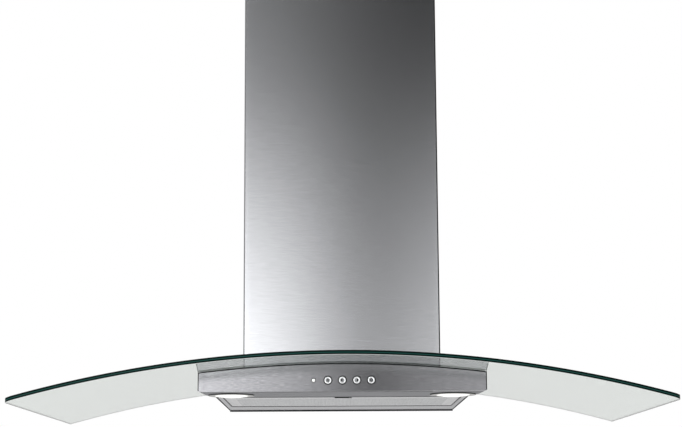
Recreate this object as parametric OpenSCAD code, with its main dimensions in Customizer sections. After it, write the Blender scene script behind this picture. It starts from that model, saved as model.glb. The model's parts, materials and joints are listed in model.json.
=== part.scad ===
// Wall-mounted range hood: an arched glass canopy, a low body with push buttons and lamps under
// it, a telescoping chimney above it and the blower inside. Millimetres. +Z is up, the front
// faces -Y and the wall is the plane Y = 0. The origin is the centre of the wall-fixing holes.

/* [Glass canopy] */
// Width of the glass from side to side
glass_w = 900; // [860:10:960]
// Depth of the glass from the wall to its front edge
glass_d = 500; // [485:5:530]
// Thickness of the glass
glass_t = 6; // [5:0.5:8]
// Rise of the arch between the side edges and the middle
glass_rise = 62; // [54:1:70]
// Radius of the two front corners
glass_corner_r = 12; // [6:1:24]
// Height of the wall-fixing holes' centre above the underside of the glass at its middle
glass_drop = 140; // [134:1:150]

/* [Body under the glass] */
// Distance of the front panel behind the front edge of the glass
panel_setback = 113; // [100:1:125]
// How far the front panel stands out past the rounded lamp ends
panel_over = 5; // [2:0.5:10]
// Height of the body at its middle, with the seal on top of it
body_h = 40; // [39:0.5:48]
// Width of the body behind the lamps
body_w = 370; // [364:2:380]
// Thickness of the body's sheet
sheet_t = 1; // [0.8:0.1:1.4]
// Thickness of the front panel
panel_t = 1.5; // [1:0.1:2.2]
// Thickness of the dark carrier behind the front panel
carrier_t = 2.5; // [2:0.1:3.5]
// How far the carrier shows past each end of the front panel
carrier_reveal = 1.4; // [0.8:0.1:2]
// Thickness of the rubber seals under and over the glass
seal_t = 1.5; // [1:0.1:2.5]
// Width of the rubber seals
seal_w = 8; // [5:0.5:10]
// Depth of the underside strip between the front panel and the filter opening
front_strip_d = 105; // [100:1:112]
// Depth of the underside strip between the filter opening and the wall
rear_strip_d = 88; // [80:1:96]
// Width of the underside strips beside the filter opening
side_strip_w = 8; // [7:0.5:10]

/* [Controls] */
// Distance between neighbouring buttons
button_pitch = 20.3; // [18:0.1:24]
// Radius of a button cap
button_r = 5; // [4:0.1:5.6]
// Radius of the button holes in the front panel
button_hole_r = 6.3; // [6:0.1:7]
// Height of the buttons above the underside
button_z = 15.5; // [14.5:0.5:18]
// How far a button stands out of the front panel
button_proud = 1.6; // [1:0.1:2]
// How far a button travels
button_travel = 1.5; // [0.8:0.1:1.8]
// Radius of a button's plunger
plunger_r = 2.5; // [1.5:0.1:3]
// Length of a plunger inside the switch module
plunger_l = 8; // [6:0.5:11]
// Radius of the indicator's lens
led_r = 2.3; // [1.5:0.1:2.6]
// Radius of the indicator's hole in the front panel
led_hole_r = 3.2; // [3:0.1:3.6]
// Depth of the switch module behind the body's front wall
switch_d = 18; // [15:1:24]
// Half of the switch module's height
switch_half_h = 9; // [8:0.5:10]
// Thickness of the switch board
board_t = 1.6; // [1:0.2:2]

/* [Lamps] */
// Distance of each lamp's middle from the body's side
lamp_inset = 25; // [24:0.5:30]
// Distance of the lamps behind the front panel
lamp_setback = 60; // [54:1:64]
// Outer radius of the lamp rim
lamp_rim_r = 33; // [31:0.5:34]
// Thickness of the lamp rim below the body
lamp_rim_t = 1.6; // [1:0.1:2.5]
// Radius of the hole in the body for a lamp
lamp_hole_r = 29.8; // [29.5:0.1:30.4]
// Radius of the lens where it shows
lamp_lens_r = 24; // [20:0.5:25]
// Height of the lens's dome
lamp_dome = 2.6; // [2:0.1:4]
// Room between the lamp cup's top and the body's top at its middle
lamp_room = 17; // [15:0.5:19]
// Radius of the body's rounded ends around the lamps
lamp_end_r = 37; // [36:0.5:38]

/* [Grease filter] */
// Thickness of the filter
filter_t = 9; // [8:0.5:12]
// Gap around the filter at its sides and front
filter_gap = 1; // [0.6:0.1:1.5]
// Gap behind the filter, where it turns
filter_rear_gap = 3; // [2.6:0.1:4]
// Width of the filter's frame
filter_frame_w = 12; // [10:0.5:14]
// Radius of the filter's hinge pins
filter_pin_r = 1.5; // [1.2:0.1:1.8]
// Width of the grip recess
grip_w = 23; // [20:1:30]
// Travel of the latch
latch_travel = 5; // [3.5:0.5:6]
// Overlap of the latch's tongue on the body
latch_hold = 3; // [2:0.5:4]
// Length left for the latch's spring when the latch is pulled back
spring_short = 9; // [8:0.5:13]
// Number of mesh sheets in the filter
mesh_n = 3; // [2:1:5]
// Thickness of a mesh sheet
mesh_t = 0.6; // [0.4:0.1:1]

/* [Chimney] */
// Width of the lower chimney section
chimney_w = 295; // [290:1:310]
// Depth of the lower chimney section from the wall
chimney_d = 260; // [258:1:280]
// Thickness of the chimney's sheet
chimney_t = 1; // [0.8:0.1:1.2]
// Height of the lower chimney section above the glass
lower_h = 600; // [560:10:680]
// How far the closed upper section stands out of the lower one
upper_proud = 22; // [20:1:40]
// Clearance between the two sections
slide_gap = 0.8; // [0.5:0.1:1.2]
// Width of the folds at the rear edges
fold_w = 9; // [7:0.5:10]
// Number of vent slots on each side of the upper section
vent_n = 6; // [3:1:8]
// Height of a vent slot
vent_h = 5; // [4:0.5:6]
// Length of a vent slot
vent_l = 120; // [80:5:160]
// Distance from one vent slot to the next
vent_pitch = 12; // [10:0.5:14]
// Height of the trim at the foot of the chimney
trim_h = 5; // [4:0.5:7]
// How far the trim stands out beside the chimney
trim_w = 4; // [2.5:0.5:5]

/* [Motor box] */
// Distance of the motor box's sides inside the chimney's outer faces
side_room = 37.5; // [36:0.5:39]
// Distance of the motor box's front behind the chimney's front face
front_room = 18; // [16:0.5:20]
// Height of the motor box's top above the wall-fixing holes' centre
box_top = 118; // [112:1:126]
// Thickness of the motor box's sheet
box_t = 1.2; // [1:0.1:1.6]
// Width of the flange at the foot of the motor box
flange_w = 13; // [11:0.5:13.5]
// Distance of the air opening's sides inside the motor box's sides
cut_side = 12; // [11:0.5:20]
// Distance of the air opening's front edge behind the motor box's front
cut_front_edge = 10; // [8:1:20]
// Distance of the air opening's rear edge in front of the motor box's back
cut_rear_edge = 24; // [20:1:40]
// Radius of the air opening's corners
cut_corner_r = 14; // [8:1:24]

/* [Fixing] */
// Radius of the wall-fixing holes
wall_hole_r = 4; // [3:0.5:4.5]
// Distance of the wall-fixing holes inside the wall plate's sides
wall_hole_side = 10; // [8:0.5:11]
// Distance of the wall-fixing holes inside the wall plate's top and bottom
wall_hole_end = 18; // [12:1:30]
// Thickness of the wall plate
wall_plate_t = 2; // [1.5:0.1:3]
// Gap between the wall plate and the chimney's rear folds
plate_gap = 8.5; // [6:0.5:10]
// Height of the wall plate
wall_plate_h = 196; // [190:1:206]
// Radius of the screws through the glass
screw_r = 2.4; // [2:0.1:2.6]
// Radius of the holes in the glass for their bushes
glass_hole_r = 5; // [4.5:0.1:6]

/* [Blower] */
// Radius of the impeller
impeller_r = 78; // [72:1:79]
// Width of the impeller
impeller_w = 120; // [100:2:124]
// Number of blades
blade_n = 32; // [24:1:40]
// Length of a blade from its inner to its outer edge
blade_l = 15; // [10:1:16]
// Gap between the impeller and the scroll where it is narrowest
scroll_gap = 6; // [4:0.5:8]
// Growth of the scroll's radius from its narrowest to its widest place
scroll_growth = 28; // [20:1:29]
// Thickness of the scroll's walls
scroll_t = 1.5; // [1.2:0.1:2]
// Clearance between the impeller's ends and the scroll
wheel_clear = 5; // [3:0.5:6]
// Radius of the inlets
inlet_r = 62; // [56:1:62]
// Radius of the motor
motor_r = 42; // [38:1:44]
// Radius of the motor shaft
shaft_r = 4; // [3:0.5:5]
// Height of the blower's axis against the wall-fixing holes' centre
blower_z = -20; // [-21:0.5:-14]

/* [Outlet] */
// Outer radius of the round spigot
spigot_r = 75; // [70:0.5:76]
// Thickness of the spigot's wall
spigot_t = 2.5; // [2:0.1:3]
// Height of the spigot
spigot_h = 45; // [40:1:60]
// Distance of the spigot's middle in front of the motor box's middle
spigot_shift = 8; // [0:1:12]
// Height of the adaptor under the spigot
adaptor_h = 18; // [14:1:24]
// Distance of the adaptor's sides inside the motor box's sides
adaptor_side = 15; // [13:0.5:16]
// Distance of the adaptor's front and rear from the motor box's, on average
adaptor_end = 25; // [22:0.5:26]
// Radius of the damper's pin
damper_pin_r = 1.5; // [1.2:0.1:1.8]
// Thickness of a damper flap
flap_t = 1.5; // [1.2:0.1:1.8]

/* [Electrics] */
// Width of the junction box from front to back
junction_d = 90; // [80:1:100]
// Height of the junction box
junction_h = 90; // [80:1:100]
// Thickness of the junction box beside the motor box
junction_t = 27; // [25:0.5:28]
// Radius of the cable gland's bore
gland_bore_r = 4; // [3:0.25:4.5]
// Radius of the capacitor
capacitor_r = 12.5; // [11:0.5:14]
// Height of the capacitor
capacitor_h = 66; // [50:1:80]

/* [Hidden] */

$fn = 96;
// Clearances: between curved faces, of a turning or sliding fit, of a loose hole, past a cut
seat = 0.3;
run_fit = 0.05;
loose = 0.3;
over = 1;

// The arch: every curved sheet is a shell about one axis that runs from front to back
arch_r = (pow(glass_w / 2, 2) + pow(glass_rise, 2)) / (2 * glass_rise);
glass_z = -glass_drop;
arch_z = glass_z - arch_r;
glass_top_r = arch_r + glass_t;
pan_top_r = arch_r - seal_t - 2 * seat;
flange_r = glass_top_r + seal_t + 2 * seat;

// Body
panel_y = -glass_d + panel_setback;
carrier_y = panel_y + panel_t;
pan_y = carrier_y + carrier_t;
pan_z = glass_z - body_h;
lip_t = 1.2;
lamp_x = body_w / 2 - lamp_inset;
lamp_y = panel_y + lamp_setback;
panel_w = 2 * (lamp_x + lamp_end_r + panel_over);
opening_half = body_w / 2 - side_strip_w;
opening_front = panel_y + front_strip_d;
opening_rear = -rear_strip_d;

// Controls
button_zc = pan_z + button_z;
button_x = [for (i = [0:3]) (i - 1) * button_pitch];
indicator_x = -2 * button_pitch;
switch_y = pan_y + sheet_t;
switch_end = 8;
switch_half = 2 * button_pitch + switch_end;
board_inset = [2, 1];
button_stop = 0.6;
cap_rear = switch_y - button_travel - button_stop;
recess_r = button_r / 2;
recess_t = 0.5;
bore_spare = 1;

// Lamps
lamp_cup_h = body_h - lamp_room;
sleeve_r = lamp_hole_r - loose;
sleeve_h = 8;
rim_wall = 1.2;
lens_t = 1.5;
cup_t = 1;
socket_r = 7;
socket_h = 6;
socket_z = pan_z + lamp_cup_h - cup_t - socket_h;
bulb_r = 4.5;
bulb_pin_x = 2;
bulb_pin_r = 0.45;
bulb_pin_l = 4;
transformer_w = 70;
transformer_d = 45;
transformer_room = 16;
transformer_h = body_h - transformer_room;
transformer_back = 33;
transformer_side = 10;
transformer_ear = [8, 18, 2];

// Filter
filter_half = opening_half - filter_gap;
filter_front = opening_front + filter_gap;
filter_rear = opening_rear - filter_rear_gap;
pin_inset = 2.5;
hinge_y = filter_rear - pin_inset;
pin_height = 4;
hinge_z = pan_z + pin_height;
hinge_ear_t = 3;
hinge_ear_r = 5;
ear_gap = 0.5;
pin_reach = filter_gap + ear_gap + hinge_ear_t;
frame_lip = 1;
mesh_grip = 4;
mesh_gap = 0.1;
grip_roof = filter_t - 1;
grip_wall = 3;
grip_lip = 4;
tab_gap = 2;
grip_back = 2;
latch_t = 2;
latch_side = 0.5;
latch_z = pan_z + sheet_t + loose;
grip_front = filter_front + grip_lip;
tab_y = grip_front + tab_gap;
grip_rear = tab_y + latch_t + latch_travel + spring_short;
tongue_half = 8;
spring_coil_r = 1.1;
spring_wire_r = 0.3;
spring_z = pan_z + grip_roof - spring_coil_r - 2 * spring_wire_r;

// Chimney
trim_floor = 1.5;
trim_in = 3;
trim_back = chimney_t + 1;
lower_foot_r = glass_top_r + seat + trim_floor + seat;
lower_top = glass_z + glass_t + lower_h;
upper_half = chimney_w / 2 - chimney_t - slide_gap;
upper_front = -chimney_d + chimney_t + slide_gap;
upper_back = -chimney_t - slide_gap;
upper_foot_r = glass_top_r + seat + trim_h + seat;
upper_top = lower_top + upper_proud;
vent_drop = 90;
vent_top = upper_top - vent_drop;
bracket_t = 2;
bracket_h = 30;
bracket_arm = 36;
bracket_half = upper_half - chimney_t - fold_w;
bracket_drop = 6;
bracket_top = upper_top - bracket_drop;
bracket_hole_x = 160;
bracket_hole_z = bracket_top - bracket_h / 2;
lug_l = 20;
lug_screw_drop = 5;
chimney_screw_z = bracket_top - lug_screw_drop;
chimney_screw_y = bracket_arm + lug_l / 2;
chimney_screw_r = 1.9;
chimney_screw_l = 7;
chimney_head_h = 2;

// Motor box
box_w = chimney_w - 2 * side_room;
box_d = chimney_d - wall_plate_t - front_room;
box_back = -wall_plate_t;
box_front = box_back - box_d;
cut_w = box_w - 2 * cut_side;
cut_front = -box_front - cut_front_edge;
cut_rear = -box_back + cut_rear_edge;
wall_plate_w = chimney_w - 2 * fold_w - 2 * plate_gap;
wall_hole_x = wall_plate_w - 2 * wall_hole_side;
wall_hole_z = wall_plate_h - 2 * wall_hole_end;
box_mid = (box_back + box_front) / 2;
box_floor = glass_z + glass_t;
flange_relief = 2;
flange_front = box_front - flange_w + flange_relief;
flange_screw_out = 7.5;
flange_screw_front = 5.5;
flange_screw_x = 50;
flange_screw_inset = 55;
flange_screws = concat(
  [for (s = [-1, 1], y = [box_back - flange_screw_inset, box_front + flange_screw_inset])
    [s * (box_w / 2 + flange_screw_out), y]],
  [for (s = [-1, 1]) [s * flange_screw_x, box_front - flange_screw_front]]
);
screw_head_r = 4.2;
screw_head_h = 2.6;
nut_h = 4;
screw_end = 2;
nut_r = screw_head_r + 0.4;
screw_l = flange_r + box_t - pan_top_r + sheet_t + nut_h + screw_end;

// Blower
scroll_r0 = impeller_r + scroll_gap;
scroll_end = scroll_r0 + scroll_growth;
scroll_half = impeller_w / 2 + wheel_clear;
scroll_back_gap = 2.5;
blower_y = box_back - box_t - scroll_r0 - scroll_growth / 3 - scroll_t - scroll_back_gap;
scroll_top = box_top - box_t;
tongue_deg = 20;
tongue_y = scroll_r0 * sin(tongue_deg);
cheek_t = 2;
inlet_rim_l = 5;
inlet_rim_t = 3;
ring_t = 2;
blade_t = 1;
blade_deg = 30;
hub_r = 10;
hub_l = 16;
hub_shift = 4;
scroll_turn = 270;
bush_l = 7;
bush_r = 5;
bush_out = 9;
bush_at = inlet_r + bush_out;
arm_t = 1.5;
arm_w = 14;
bracket_hub_r = 25;
bracket_x = -scroll_half - cheek_t - bush_l;
can_t = 1.5;
can_rear = bracket_x;
can_front = -8;
bearing_w = 6;
bearing_r = 11;
bearing_wall = 3;
core_end = 14;
core_rear = can_rear + core_end;
core_front = can_front - core_end;
rotor_r = 21.4;
shaft_front = 13;
shaft_gap = 1;

// Outlet
spigot_in = spigot_r - spigot_t;
spigot_y = spigot_shift - box_mid;
adaptor_x = box_w / 2 - adaptor_side;
adaptor_y = box_d / 2 - adaptor_end;
adaptor_t = 2;
adaptor_top = box_top + adaptor_h;
adaptor_flange = 9;
adaptor_corner_r = 12;
adaptor_screw_r = 1.8;
adaptor_screw_l = 8;
adaptor_head_r = 3.2;
adaptor_head_h = 2;
adaptor_screw_inset = 35;
adaptor_screw_y = adaptor_y - adaptor_screw_inset;
adaptor_screw_xy = [for (s = [-1, 1], y = [-adaptor_screw_y, adaptor_screw_y])
  [s * (adaptor_x + adaptor_flange / 2), y - spigot_y]];
ledge_w = 3.5;
knuckle_r = 3;
knuckle_mid = 20;
knuckle_end = 60;
pin_z = adaptor_top + knuckle_r + seat;
pin_end = 0.5;
flap_gap = 0.8;
flap_r = spigot_in - flap_gap;
flap_from = 5;

// Electrics
junction_x = box_w / 2;
junction_shift = 20;
junction_y = box_mid - junction_shift;
junction_z = 0;
lid_t = 2;
gland_x = junction_x + junction_t / 2;
gland_thread_r = gland_bore_r + 2;
gland_inside = 8;
gland_outside = 16;
gland_low = junction_z + junction_h - gland_inside;
gland_top = junction_z + junction_h + gland_outside;
gland_hex_h = 5;
gland_hex_w = 4;
gland_cap_w = 2;
nut_hex_w = 3.5;
nut_hex_h = 3.5;
terminal_l = 50;
terminal_d = 12;
terminal_h = 18;
terminal_z = 16;
terminal_hole_r = 1.8;
terminal_n = 5;
capacitor_gap = 2;
capacitor_x = -box_w / 2 - capacitor_r - capacitor_gap;
capacitor_z = -10;
clip_h = 14;
clip_t = 1.2;
clip_w = 16;
tab_x = 4;
tab_size = [0.8, 6, 9];

// Radius of the scroll at an angle measured from its top towards the wall
function scroll_at(t) = scroll_r0 + scroll_growth * max(0, t) / scroll_turn;

// A solid cylinder about the arch's axis, longer than the glass at both ends
module arch_cylinder(r, extra = 0) {
  translate([0, over + extra, arch_z]) rotate([90, 0, 0])
    cylinder(r = r, h = glass_d + 2 * (over + extra), $fn = 256);
}

module arch_shell(r_in, r_out) {
  difference() {
    arch_cylinder(r_out);
    arch_cylinder(r_in, over);
  }
}

// A sheet that follows the arch, cut to a flat outline
module arch_sheet(r_in, r_out) {
  intersection() {
    arch_shell(r_in, r_out);
    translate([0, 0, glass_z - glass_rise - glass_t])
      linear_extrude(glass_rise + 6 * glass_t) children();
  }
}

// What stands on the arch, with its foot cut to the arch's curve
module foot_cut(r) {
  difference() {
    children();
    arch_cylinder(r, over);
  }
}

// The places of the screws through the glass, square to the arch, at a given radius
module at_screws(r) {
  for (p = flange_screws)
    translate([0, p[1], arch_z]) rotate([0, asin(p[0] / flange_r), 0])
      translate([0, 0, r]) children();
}

module screw_holes(r) {
  at_screws(pan_top_r - 2 * glass_t) cylinder(r = r, h = 4 * glass_t);
}

module along_x(y, z, x0, x1, r) {
  translate([x0, y, z]) rotate([0, 90, 0]) cylinder(r = r, h = x1 - x0);
}

module along_y(x, z, y0, y1, r) {
  translate([x, y0, z]) rotate([-90, 0, 0]) cylinder(r = r, h = y1 - y0);
}

module rounded_rect(x0, x1, y0, y1, r) {
  translate([x0 + r, y0]) square([x1 - x0 - 2 * r, y1 - y0]);
  translate([x0, y0 + r]) square([x1 - x0, y1 - y0 - 2 * r]);
  for (x = [x0 + r, x1 - r], y = [y0 + r, y1 - r]) translate([x, y]) circle(r);
}

module block(low, high) {
  translate(low) cube(high - low);
}

module air_cut(grow = 0) {
  rounded_rect(-cut_w / 2 - grow, cut_w / 2 + grow, -cut_front - grow, -cut_rear + grow,
    cut_corner_r + grow);
}

module glass_outline() {
  half = glass_w / 2;
  r = glass_corner_r;
  translate([-half, -glass_d + r]) square([glass_w, glass_d - r]);
  translate([-half + r, -glass_d]) square([glass_w - 2 * r, r + over]);
  for (s = [-1, 1]) translate([s * (half - r), -glass_d + r]) circle(r);
}

module glass_canopy() {
  color([0.72, 0.86, 0.82, 0.45]) difference() {
    arch_sheet(arch_r, glass_top_r) difference() {
      glass_outline();
      air_cut();
    }
    screw_holes(glass_hole_r);
  }
}

// The body's outline from above: wide in front with ends rounded about the lamps
module pan_outline(inset = 0) {
  half = body_w / 2 - inset;
  front_half = panel_w / 2 - sheet_t - inset;
  end_r = lamp_end_r - inset;
  translate([-half, pan_y + inset]) square([2 * half, -pan_y - 2 * inset]);
  polygon([
    [-front_half, pan_y + inset], [front_half, pan_y + inset],
    [lamp_x + end_r, lamp_y], [-lamp_x - end_r, lamp_y]
  ]);
  for (s = [-1, 1]) translate([s * lamp_x, lamp_y]) circle(end_r);
}

module body_seal() {
  color("#1b1d1e") difference() {
    arch_sheet(pan_top_r + seat, arch_r - seat) union() {
      difference() {
        pan_outline(seat);
        pan_outline(seat + seal_w);
      }
      difference() {
        intersection() {
          air_cut(flange_w + box_w / 2 - cut_w / 2);
          pan_outline(seat);
        }
        air_cut();
      }
    }
    screw_holes(screw_r + loose);
  }
}

module flange_outline() {
  half = box_w / 2 + flange_w;
  translate([-half, flange_front]) square([2 * half, box_back - flange_front]);
}

module motor_seal() {
  color("#1b1d1e") difference() {
    arch_sheet(glass_top_r + seat, flange_r - seat) difference() {
      flange_outline();
      air_cut();
    }
    screw_holes(screw_r + loose);
  }
}

// A band that follows the chimney's side and front walls, grown outwards and inwards
module chimney_band(out, in, back) {
  half = chimney_w / 2;
  difference() {
    translate([-half - out, -chimney_d - out])
      square([2 * (half + out), chimney_d + out + back]);
    translate([-half + chimney_t + in, -chimney_d + chimney_t + in])
      square([2 * (half - chimney_t - in), chimney_d]);
  }
}

module chimney_trim() {
  foot = glass_top_r + seat;
  color("#17191a") difference() {
    arch_sheet(foot, foot + trim_h) chimney_band(trim_w, trim_in, -trim_back);
    arch_sheet(foot + trim_floor, foot + 2 * trim_h) chimney_band(seat, seat, over);
  }
}

module body_pan() {
  color("#c3c6c7") difference() {
    union() {
      difference() {
        intersection() {
          arch_cylinder(pan_top_r);
          translate([0, 0, pan_z]) linear_extrude(body_h) pan_outline();
        }
        intersection() {
          arch_cylinder(pan_top_r - sheet_t, over);
          translate([0, 0, pan_z + sheet_t]) linear_extrude(body_h) pan_outline(sheet_t);
        }
        block([-opening_half, opening_front, pan_z - over],
          [opening_half, opening_rear, pan_z + sheet_t + over]);
      }
      for (s = [-1, 1]) translate([s * (opening_half + ear_gap + hinge_ear_t / 2), 0, 0])
        block([-hinge_ear_t / 2, hinge_y - hinge_ear_r, pan_z + sheet_t - run_fit],
          [hinge_ear_t / 2, hinge_y + hinge_ear_r, hinge_z + hinge_ear_r]);
    }
    translate([0, 0, glass_z - body_h / 2]) linear_extrude(body_h) air_cut();
    for (s = [-1, 1]) translate([s * lamp_x, lamp_y, pan_z - over])
      cylinder(r = lamp_hole_r, h = sheet_t + 2 * over);
    for (m = [0, 1]) mirror([m, 0, 0]) along_x(hinge_y, hinge_z, opening_half,
      opening_half + 2 * ear_gap + hinge_ear_t, filter_pin_r + run_fit);
    for (x = button_x) along_y(x, button_zc, pan_y - over, switch_y + over, button_r + loose);
    along_y(indicator_x, button_zc, pan_y - over, switch_y + over, led_r + loose);
    screw_holes(screw_r + loose);
  }
}

module panel_carrier() {
  half = panel_w / 2 + carrier_reveal;
  color("#232527") difference() {
    intersection() {
      arch_cylinder(arch_r - seat);
      block([-half, carrier_y, pan_z + lip_t], [half, pan_y, glass_z]);
    }
    for (x = button_x) along_y(x, button_zc, carrier_y - over, pan_y + over, button_r + loose);
    along_y(indicator_x, button_zc, carrier_y - over, pan_y + over, led_r + loose);
  }
}

module front_panel() {
  half = panel_w / 2;
  color("#a9acae") difference() {
    intersection() {
      arch_cylinder(pan_top_r);
      union() {
        block([-half, panel_y, pan_z], [half, carrier_y, glass_z]);
        block([-half, panel_y, pan_z], [half, pan_y, pan_z + lip_t]);
      }
    }
    for (x = button_x) along_y(x, button_zc, panel_y - over, carrier_y + over, button_hole_r);
    along_y(indicator_x, button_zc, panel_y - over, carrier_y + over, led_hole_r);
  }
}

module indicator() {
  dome_y = panel_y + led_r / 2;
  color("#f4f5f3") {
    along_y(indicator_x, button_zc, dome_y, switch_y, led_r);
    translate([indicator_x, dome_y, button_zc]) sphere(led_r);
  }
}

module push_button(i) {
  x = button_x[i - 1];
  face_y = panel_y - button_proud;
  color("#dfe1e2") difference() {
    union() {
      along_y(x, button_zc, face_y, cap_rear, button_r);
      along_y(x, button_zc, face_y + over, switch_y + plunger_l, plunger_r);
    }
    along_y(x, button_zc, face_y - over, face_y + recess_t, recess_r);
  }
}

module button_1() { push_button(1); }
module button_2() { push_button(2); }
module button_3() { push_button(3); }
module button_4() { push_button(4); }

module switch_module() {
  color("#2c2e30") difference() {
    block([-switch_half, switch_y, button_zc - switch_half_h],
      [switch_half, switch_y + switch_d, button_zc + switch_half_h]);
    for (x = button_x) along_y(x, button_zc, switch_y - over,
      switch_y + plunger_l + button_travel + bore_spare, plunger_r + run_fit);
  }
}

module switch_board() {
  y = switch_y + switch_d;
  half = [switch_half, switch_half_h] - board_inset;
  color("#2f6b46") block([-half[0], y, button_zc - half[1]],
    [half[0], y + board_t, button_zc + half[1]]);
}

module lamp_rim(s) {
  color("#c9cbcc") translate([s * lamp_x, lamp_y, pan_z]) rotate_extrude() polygon([
    [lamp_lens_r + loose, -lamp_rim_t], [lamp_rim_r - 4, -lamp_rim_t],
    [lamp_rim_r, -lamp_rim_t / 3], [lamp_rim_r, 0], [sleeve_r, 0], [sleeve_r, sleeve_h],
    [sleeve_r - rim_wall, sleeve_h], [sleeve_r - rim_wall, 0], [lamp_lens_r + loose, 0]
  ]);
}

module lamp_lens(s) {
  ball_r = (pow(lamp_lens_r, 2) + pow(lamp_dome, 2)) / (2 * lamp_dome);
  low = -lamp_rim_t - lamp_dome;
  color("#fdfdfb") translate([s * lamp_x, lamp_y, pan_z]) rotate_extrude() {
    translate([0, 0]) square([sleeve_r - rim_wall - loose, lens_t]);
    translate([0, -lamp_rim_t]) square([lamp_lens_r, lamp_rim_t + lens_t / 2]);
    intersection() {
      translate([0, low + ball_r]) circle(ball_r, $fn = 256);
      translate([0, low]) square([lamp_lens_r, lamp_dome + lamp_rim_t / 2]);
    }
  }
}

module lamp_cup(s) {
  r = sleeve_r - rim_wall - loose;
  low = lens_t + loose;
  color("#d4d6d7") translate([s * lamp_x, lamp_y, pan_z]) difference() {
    translate([0, 0, low]) cylinder(r = r, h = lamp_cup_h - low);
    translate([0, 0, low - over]) cylinder(r = r - cup_t, h = lamp_cup_h - low + over - cup_t);
  }
}

module lamp_socket(s) {
  color("#ece8dd") translate([s * lamp_x, lamp_y, socket_z]) difference() {
    cylinder(r = socket_r, h = socket_h);
    for (x = [-bulb_pin_x, bulb_pin_x]) translate([x, 0, -over])
      cylinder(r = bulb_pin_r + run_fit, h = bulb_pin_l + 2 * over);
  }
}

module bulb(s) {
  body_l = socket_z - pan_z - lens_t - bulb_r - over;
  color("#f6f4e6") translate([s * lamp_x, lamp_y, socket_z]) {
    translate([0, 0, -body_l]) cylinder(r = bulb_r, h = body_l);
    translate([0, 0, -body_l]) sphere(bulb_r);
    for (x = [-bulb_pin_x, bulb_pin_x]) translate([x, 0, -over])
      cylinder(r = bulb_pin_r, h = bulb_pin_l + over);
  }
}

module lamp_rim_left() { lamp_rim(-1); }
module lamp_rim_right() { lamp_rim(1); }
module lamp_lens_left() { lamp_lens(-1); }
module lamp_lens_right() { lamp_lens(1); }
module lamp_cup_left() { lamp_cup(-1); }
module lamp_cup_right() { lamp_cup(1); }
module lamp_socket_left() { lamp_socket(-1); }
module lamp_socket_right() { lamp_socket(1); }
module bulb_left() { bulb(-1); }
module bulb_right() { bulb(1); }

module lamp_transformer() {
  left = -body_w / 2 + sheet_t + transformer_side;
  ear_y = -transformer_back - transformer_d / 2 - transformer_ear[1] / 2;
  z = pan_z + sheet_t;
  color("#3a3c3e") {
    block([left, -transformer_back - transformer_d, z],
      [left + transformer_w, -transformer_back, z + transformer_h]);
    for (x = [left - transformer_ear[0], left + transformer_w - over])
      translate([x, ear_y, z]) cube(transformer_ear + [over, 0, 0]);
  }
}

module filter_frame() {
  inner_half = filter_half - filter_frame_w;
  block_half = grip_w / 2 + grip_wall;
  color("#c0c3c5") difference() {
    union() {
      difference() {
        block([-filter_half, filter_front, pan_z], [filter_half, filter_rear, pan_z + filter_t]);
        block([-inner_half, filter_front + filter_frame_w, pan_z - over],
          [inner_half, filter_rear - filter_frame_w, pan_z + filter_t + over]);
        block([-inner_half - mesh_grip, filter_front + filter_frame_w - mesh_grip, pan_z + frame_lip],
          [inner_half + mesh_grip, filter_rear - filter_frame_w + mesh_grip,
            pan_z + filter_t - frame_lip]);
      }
      block([-block_half, filter_front, pan_z],
        [block_half, grip_rear + grip_back, pan_z + filter_t]);
      for (m = [0, 1]) mirror([m, 0, 0])
        along_x(hinge_y, hinge_z, filter_half - over, filter_half + pin_reach, filter_pin_r);
    }
    block([-grip_w / 2, grip_front, pan_z - over], [grip_w / 2, grip_rear, pan_z + grip_roof]);
    block([-tongue_half - loose, filter_front - over, latch_z - loose],
      [tongue_half + loose, grip_front + over, latch_z + latch_t + loose]);
  }
}

module filter_mesh() {
  half = filter_half - filter_frame_w + mesh_grip - loose;
  front = filter_front + filter_frame_w - mesh_grip + loose;
  rear = filter_rear - filter_frame_w + mesh_grip - loose;
  notch_half = grip_w / 2 + grip_wall + loose;
  step = (filter_t - 2 * frame_lip - 2 * mesh_gap - mesh_t) / (mesh_n - 1);
  color("#9fa3a5") difference() {
    for (i = [0:mesh_n - 1]) translate([0, 0, pan_z + frame_lip + mesh_gap + i * step])
      block([-half, front, 0], [half, rear, mesh_t]);
    block([-notch_half, filter_front, pan_z - over],
      [notch_half, grip_rear + grip_back + loose, pan_z + filter_t + over]);
  }
}

module filter_latch() {
  tab_half = grip_w / 2 - latch_side;
  color("#2a2c2e") {
    block([-tongue_half, opening_front - latch_hold, latch_z],
      [tongue_half, tab_y + latch_t, latch_z + latch_t]);
    block([-tab_half, tab_y, pan_z + latch_side],
      [tab_half, tab_y + latch_t, pan_z + grip_roof - latch_side]);
  }
}

// A tube along a helix about the Y direction, closed at both ends
module coil(y0, y1, z, turns, r, wire_r) {
  rings = turns * 8;
  sides = 6;
  points = [for (i = [0:rings], k = [0:sides - 1])
    let (a = 360 * i / 8, b = 360 * k / sides, d = r + wire_r * cos(b))
    [d * cos(a), y0 + wire_r + (y1 - y0 - 2 * wire_r) * i / rings + wire_r * sin(b), z + d * sin(a)]];
  skin = [for (i = [0:rings - 1], k = [0:sides - 1])
    let (p = i * sides + k, q = i * sides + (k + 1) % sides)
    each [[p, q, p + sides], [q, q + sides, p + sides]]];
  polyhedron(points, concat(skin, [[for (k = [0:sides - 1]) sides - 1 - k]],
    [[for (k = [0:sides - 1]) rings * sides + k]]), convexity = 10);
}

module latch_spring() {
  color("#c8cacc") coil(tab_y + latch_t, grip_rear, spring_z, 7, spring_coil_r, spring_wire_r);
}

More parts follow.
